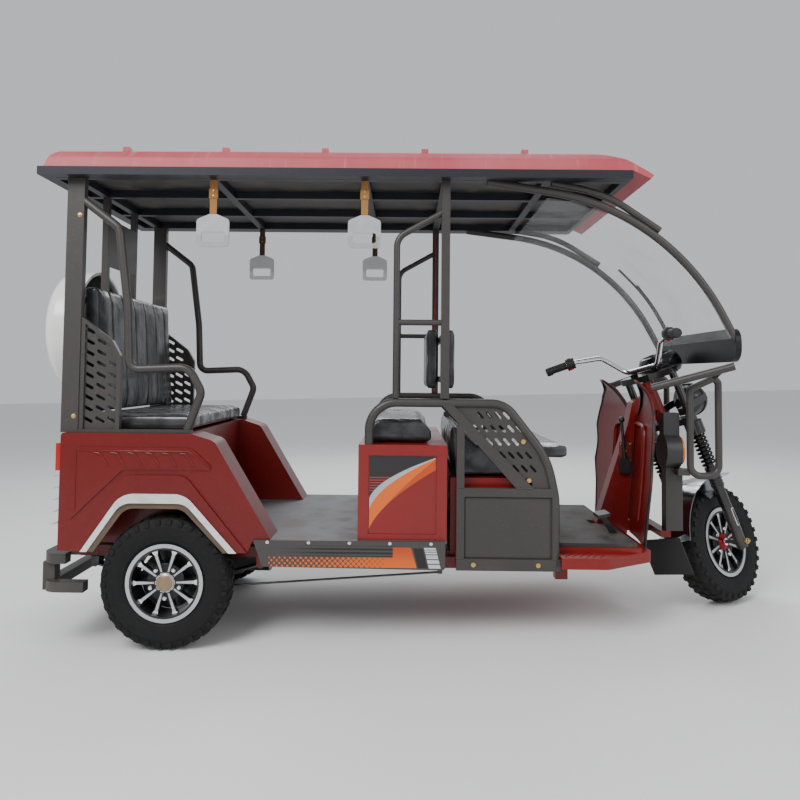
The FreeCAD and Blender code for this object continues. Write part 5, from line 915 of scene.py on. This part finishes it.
# Fork springs, as wound wire between the boot and the cup.
SPRING_LOW, SPRING_HIGH, SPRING_TURNS, STEPS_PER_TURN = 0.3308, 0.4768, 8, 16
SPRING_RADIUS, WIRE, LEG_Y = 0.0262, 0.0044, 0.113
SPRING_STEPS, SPRING_RISE = SPRING_TURNS * STEPS_PER_TURN, SPRING_HIGH - SPRING_LOW - 2 * WIRE
springs = [
    rod("fork_spring", [
        (WHEEL_LEAD + SPRING_RADIUS * math.cos(2 * math.pi * step / STEPS_PER_TURN),
         side * LEG_Y + SPRING_RADIUS * math.sin(2 * math.pi * step / STEPS_PER_TURN),
         SPRING_LOW + WIRE + SPRING_RISE * step / SPRING_STEPS) for step in range(SPRING_STEPS + 1)], WIRE)
    for side in (-1, 1)]
spring_black = metal("black_spring_wire", (0.030, 0.030, 0.032), FORK, rough=0.3)
fit(joined("wound_springs", springs), "steering", spring_black, ["fork_springs"])

# Headlamp: a bright rim and a domed lens.
LAMP_FACE, LAMP_ALONG = 0.264, 0.580
lamp_rim = hoop("lamp_rim", 0.0705, 0.0045, (LAMP_FACE, 0, LAMP_ALONG), (1, 0, 0))
fit(lamp_rim, "steering", fork_chrome)
lens = drum("lamp_lens", 0.067, (LAMP_FACE - 0.004, 0, LAMP_ALONG), (LAMP_FACE + 0.006, 0, LAMP_ALONG),
            48, 0.004, 0.7)
lens_glass = plastic("lamp_lens_glass", (0.50, 0.53, 0.55), FORK, rough=0.06, coat=0.9)
fit(lens, "steering", lens_glass)

# Instrument pod: a dark dial face with a needle and a blank scale.
POD_AHEAD, POD_TOP = 0.135, 0.806
MARK_COUNT, FIRST_MARK, MARK_STEP = 11, -120, 24
dial = drum("dial_face", 0.063, (POD_AHEAD, 0, POD_TOP - 0.005), (POD_AHEAD, 0, POD_TOP - 0.001), 48, 0.001)
fit(dial, "steering", fork_plastic)
scale = [block("dial_needle", (POD_AHEAD - 0.040, -0.0015, POD_TOP - 0.001),
               (POD_AHEAD + 0.006, 0.0015, POD_TOP), 0.0004)]
for count in range(MARK_COUNT):
    turn = Matrix.Rotation(math.radians(FIRST_MARK + MARK_STEP * count), 4, "Z")
    mark = block("scale_mark", (-0.056, -0.001, POD_TOP - 0.0012),
                 (-0.048, 0.001, POD_TOP - 0.0006), 0.0002)
    mark.data.transform(Matrix.Translation((POD_AHEAD, 0, 0)) @ turn)
    scale.append(mark)
white_mark = plastic("white_marking", (0.7, 0.7, 0.68), FORK)
fit(joined("dial_scale", scale), "steering", white_mark)

# Bolts with washers on the frame and the sills.
bolt_head = joined("bolt_pattern", [
    drum("bolt_washer", 0.0085, (0, 0, 0), (0, -0.0016, 0), 24, 0.0004),
    drum("bolt_top", 0.0058, (0, -0.0014, 0), (0, -0.0062, 0), 6, 0.0008)])
FRAME_FACE, SHEET_FACE, SILL_FACE = -0.474, -0.466, -0.500
BOLT_PLACES = [(0.231, FRAME_FACE, 0.318), (0.465, FRAME_FACE, 0.318), (0.412, SHEET_FACE, 0.762),
               (0.433, SHEET_FACE, 0.621), (-1.2334, FRAME_FACE, 1.5823), (-1.2347, FRAME_FACE, 0.8393)]
bolts = [copied(bolt_head, Matrix.Translation(place)) for place in BOLT_PLACES]
fit_both_sides("frame_bolts", bolts, "body", brass)
screws = [copied(bolt_head, Matrix.Translation((place, SILL_FACE, 0.397)) @ Matrix.Scale(0.72, 4))
          for place in (-0.511, -0.363, -0.216, -0.071, 0.077)]
discard(bolt_head)
fit_both_sides("sill_screws", screws, "body", chrome)

# Weld beads where the rails of the side frames meet their posts.
BEAD_STEP, BEAD_WAVE, LOW_RAIL, HIGH_RAIL = 0.0025, 0.0012, 0.3395, 0.5935
beads = []
for start, end, height in ((0.171, 0.196, LOW_RAIL), (0.515, 0.543, LOW_RAIL), (0.171, 0.196, HIGH_RAIL),
                           (0.392, 0.447, HIGH_RAIL)):
    bead = [(start + BEAD_STEP * step, FRAME_FACE, height + (BEAD_WAVE if step % 2 else -BEAD_WAVE))
            for step in range(round((end - start) / BEAD_STEP))]
    beads.append(rod("weld_bead", bead, 0.0022))
fit_both_sides("weld_beads", beads, "body", frame_paint)

# Pressed ribs and a raised border in the relief above each rear wheel.
RELIEF_FACE, RIB_COUNT, FIRST_RIB, RIB_STEP = -0.4948, 6, -1.125, 0.0626
RIB_LINE = [(-0.022, 0.709), (-0.004, 0.709), (0.008, 0.699), (0.028, 0.662)]
BORDER_LINE = [(-1.212, 0.500), (-1.212, 0.716), (-0.803, 0.716), (-0.729, 0.664)]
ribs = [rod("pressed_rib", [(FIRST_RIB + RIB_STEP * count + offset, RELIEF_FACE, height)
                            for offset, height in RIB_LINE], 0.0042) for count in range(RIB_COUNT)]
border = [(place, RELIEF_FACE, height) for place, height in BORDER_LINE]
ribs.append(rod("relief_border", border, 0.0035, False))
fit_both_sides("pressed_ribs", ribs, "body", red_paint)


def on_surface(label, start, way, lift):
    """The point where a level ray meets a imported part, lifted back towards the ray's start."""
    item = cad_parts[label]
    inverse = item.matrix_world.inverted()
    start, way = Vector(start), Vector(way)
    found, spot, _, _ = item.ray_cast(inverse @ (BODY @ start), (inverse @ BODY).to_3x3() @ way)
    return BODY.inverted() @ (item.matrix_world @ spot) - way * lift if found else None


def laid_on(label, start, way, lift, path):
    """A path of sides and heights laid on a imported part, seen from a place ahead of or behind it."""
    spots = [on_surface(label, (start, side, height), (way, 0, 0), lift) for side, height in path]
    return [spot for spot in spots if spot]


def on_shield(lift, path):
    """A path laid on the rear face of the leg shield's right half."""
    return laid_on("leg_shield", 0.80, 1, lift, [(-side, height) for side, height in path])


# Rubber trim round each lobe of the leg shield, and the pressed rims on its rear face.
EDGE = [(0.047, 0.838), (0.150, 0.917), (0.228, 0.976), (0.246, 0.984), (0.262, 0.977), (0.300, 0.940),
        (0.336, 0.904), (0.358, 0.876), (0.374, 0.850), (0.386, 0.812), (0.395, 0.775), (0.384, 0.732),
        (0.378, 0.692), (0.385, 0.650), (0.394, 0.612), (0.382, 0.560), (0.367, 0.510), (0.358, 0.440),
        (0.349, 0.362)]
edge_trim = rod("edge_trim", on_shield(-0.003, EDGE), 0.006)
fit_both_sides("shield_trim", [edge_trim], "body", black_plastic)
RIM = [(0.190, 0.430), (0.196, 0.560), (0.200, 0.700), (0.198, 0.772), (0.176, 0.800), (0.130, 0.806),
       (0.060, 0.808)]
pressed_rim = rod("pressed_rim", on_shield(0.004, RIM), 0.011)
fit_both_sides("shield_rims", [pressed_rim], "body", red_paint)

# Cover plate with five bolts on the steering neck.
NECK_FACE = -0.0342
plate = [block("cover_plate", (0.886, NECK_FACE - 0.008, 0.642), (0.940, NECK_FACE, 0.728), 0.0015)]
for x, z in ((0.893, 0.650), (0.933, 0.650), (0.893, 0.720), (0.933, 0.720), (0.913, 0.688)):
    plate.append(drum("plate_bolt", 0.005, (x, NECK_FACE - 0.0075, z), (x, NECK_FACE - 0.0115, z), 6))
plate_paint = paint("brown_red_plate", (0.090, 0.012, 0.008), rough=0.4, coat=0.1)
fit(plate[0], "body", plate_paint)
fit(joined("plate_bolts", plate[1:]), "body", brass)

# Brake rods from the axle to the frame's cross rail.
ROD_SIDE = -0.345
brake = [rod("brake_rod", [(-0.862, ROD_SIDE, 0.1843), (0.117, ROD_SIDE, 0.2575)], 0.004, False),
         block("brake_arm", (-0.893, ROD_SIDE - 0.004, 0.176), (-0.854, ROD_SIDE + 0.004, 0.216)),
         block("rod_bracket", (0.108, ROD_SIDE - 0.004, 0.251), (0.126, ROD_SIDE + 0.004, 0.2975)),
         block("bracket_foot", (0.108, ROD_SIDE - 0.004, 0.2925), (0.126, -0.300, 0.2977))]
fit_both_sides("brake_rods", brake, "body", dull_steel)

# Wiper on the left half of the windscreen.
WIPER = [(0.190, 1.215), (0.180, 1.28), (0.170, 1.35), (0.160, 1.42), (0.150, 1.49)]
AHEAD_OF_SCREEN = 1.60
wiper = [rod("wiper_blade", laid_on("windscreen", AHEAD_OF_SCREEN, -1, 0.006, WIPER), 0.005),
         rod("wiper_arm", laid_on("windscreen", AHEAD_OF_SCREEN, -1, 0.016, WIPER[:4]), 0.004)]
fit(joined("wiper", wiper), "body", black_plastic)

# Wire down the left middle pillar.
WIRE_SIDE = 0.4425
wire = rod("pillar_wire", [(place, WIRE_SIDE, height) for place, height in (
    (0.120, 1.70), (0.127, 1.50), (0.118, 1.30), (0.126, 1.10), (0.121, 0.92))], 0.0026)
red_cover = plastic("red_wire_cover", (0.35, 0.015, 0.012), rough=0.4)
fit(wire, "body", red_cover)

# Rings of the fork boots, axle nuts and blank markers on the fork legs.
LEG_FACE = LEG_Y + 0.022
rings = [hoop("boot_ring", 0.0252, 0.0022, (WHEEL_LEAD, -LEG_Y, 0.250 + 0.012 * count), (0, 0, 1), 32)
         for count in range(7)]
fit_both_sides("boot_rings", rings, "steering", fork_plastic)
nut = [drum("axle_nut", 0.0125, (WHEEL_LEAD, -LEG_FACE + 0.001, 0), (WHEEL_LEAD, -LEG_FACE - 0.012, 0), 6),
       drum("axle_end", 0.0070, (WHEEL_LEAD, -LEG_FACE - 0.011, 0), (WHEEL_LEAD, -LEG_FACE - 0.019, 0), 20)]
fit_both_sides("axle_nuts", nut, "steering", brass)
marker = block("leg_marker", (WHEEL_LEAD - 0.008, -LEG_FACE - 0.0010, 0.070),
               (WHEEL_LEAD + 0.008, -LEG_FACE + 0.003, 0.145))
fit_both_sides("leg_markers", [marker], "steering", white_mark)
field = block("marker_field", (WHEEL_LEAD - 0.0055, -LEG_FACE - 0.0016, 0.0725),
              (WHEEL_LEAD + 0.0055, -LEG_FACE + 0.002, 0.1425), 0.0003)
fit_both_sides("marker_fields", [field], "steering", fork_plastic)

# Plated lip inside each wheel arch, coloured brown as a painted reflection of the brown ground.
ARCH = [(-1.160, 0.356), (-1.061, 0.501), (-1.050, 0.513), (-1.036, 0.523), (-1.020, 0.529),
        (-1.003, 0.531), (-0.841, 0.531), (-0.826, 0.530), (-0.813, 0.525), (-0.800, 0.518),
        (-0.789, 0.508), (-0.649, 0.356)]
LIP_MIDDLE, LIP_WIDTH = Vector((-0.910, 0.330)), 0.022
lip_edge = [Vector(spot) + (LIP_MIDDLE - Vector(spot)).normalized() * LIP_WIDTH for spot in reversed(ARCH)]
arch_lip = shaped("arch_lip", [*ARCH, *lip_edge], "side", -0.4985, -0.4915, 0.0008)
# Painted reflection: the brown is the ground's colour put into the metal, not the metal's own colour.
lip_painted_reflection = metal("arch_lip_painted_reflection", (0.15, 0.115, 0.085), rough=0.28)
fit_both_sides("arch_lips", [arch_lip], "body", lip_painted_reflection)

# Tail panel: a plain sheet with six thin louvres that droop outwards.
TAIL_FACE, LOUVRE_HALF = -1.272, 0.385
LOUVRE_COUNT, LOUVRE_LOW, LOUVRE_STEP = 6, 0.438, 0.0446
panel = [block("tail_sheet", (TAIL_FACE, -0.3445, 0.356), (-1.256, 0.3445, 0.780), 0.001)]
louvre = shaped("louvre", [(TAIL_FACE + 0.001, 0), (TAIL_FACE + 0.001, 0.010), (TAIL_FACE - 0.074, -0.008),
                           (TAIL_FACE - 0.076, -0.011)], "side", -LOUVRE_HALF, LOUVRE_HALF, 0.0006)
panel += [copied(louvre, Matrix.Translation((0, 0, LOUVRE_LOW + LOUVRE_STEP * count)))
          for count in range(LOUVRE_COUNT)]
discard(louvre)
fit(joined("louvred_tail", panel), "body", pale_metal, ["tail_panel"])

# Keepers with two rivets on the hand straps.
keepers, rivets = [], []
for place in (-0.742, -0.178):
    keepers += [
        block("strap_keeper", (place - 0.0165, -0.4652, 1.652), (place + 0.0165, -0.4548, 1.688), 0.0015),
        block("strap_tongue", (place - 0.0125, -0.4642, 1.592), (place + 0.0125, -0.4558, 1.600), 0.0015)]
    rivets += [drum("rivet", 0.0032, (place, -0.4665, height), (place, -0.4535, height), 16, 0.0006)
               for height in (1.661, 1.680)]
fit_both_sides("strap_keepers", keepers, "body", strap_webbing)
fit_both_sides("strap_rivets", rivets, "body", brass)

# Handlebar: end caps, and two red buttons on each switch housing.
ends = [drum("bar_end", 0.0200, (-0.176, -0.3215, 0.9232), (-0.194, -0.3405, 0.9224), 32, 0.004, 0.9)]
fit_both_sides("bar_ends", ends, "steering", grip_rubber)
buttons = [drum("kill_button", 0.0065, (-0.118, -0.258, 0.944), (-0.118, -0.258, 0.9515), 24, 0.0015),
           block("horn_button", (-0.135, -0.2655, 0.8955), (-0.115, -0.2495, 0.903), 0.0015)]
fit_both_sides("switch_buttons", buttons, "steering", lens_red)

# Glossy housing round the instrument pod.
shell = lathe("pod_housing", [
    (0.0735, 0.739), (0.0735, 0.8065), (0.0620, 0.8070), (0.0600, 0.8200), (0.0650, 0.8290),
    (0.0780, 0.8240), (0.0900, 0.8040), (0.0960, 0.7780), (0.0910, 0.7530), (0.0800, 0.7390)])
shell.data.transform(Matrix.Translation((POD_AHEAD, 0, 0)) @ Matrix.Diagonal((0.88, 1, 1, 1))
                     @ Matrix.Rotation(math.pi / 2, 4, "X"))
fit(shell, "steering", gloss_black)

# Bright tip at the front of the fender.
tip = shaped("fender_tip", [(0.118, 0.261), (0.150, 0.250), (0.215, 0.238), (0.224, 0.231), (0.212, 0.229),
                            (0.158, 0.236), (0.118, 0.254)], "side", -0.066, 0.066, 0.002)
fit(tip, "steering", fork_chrome)
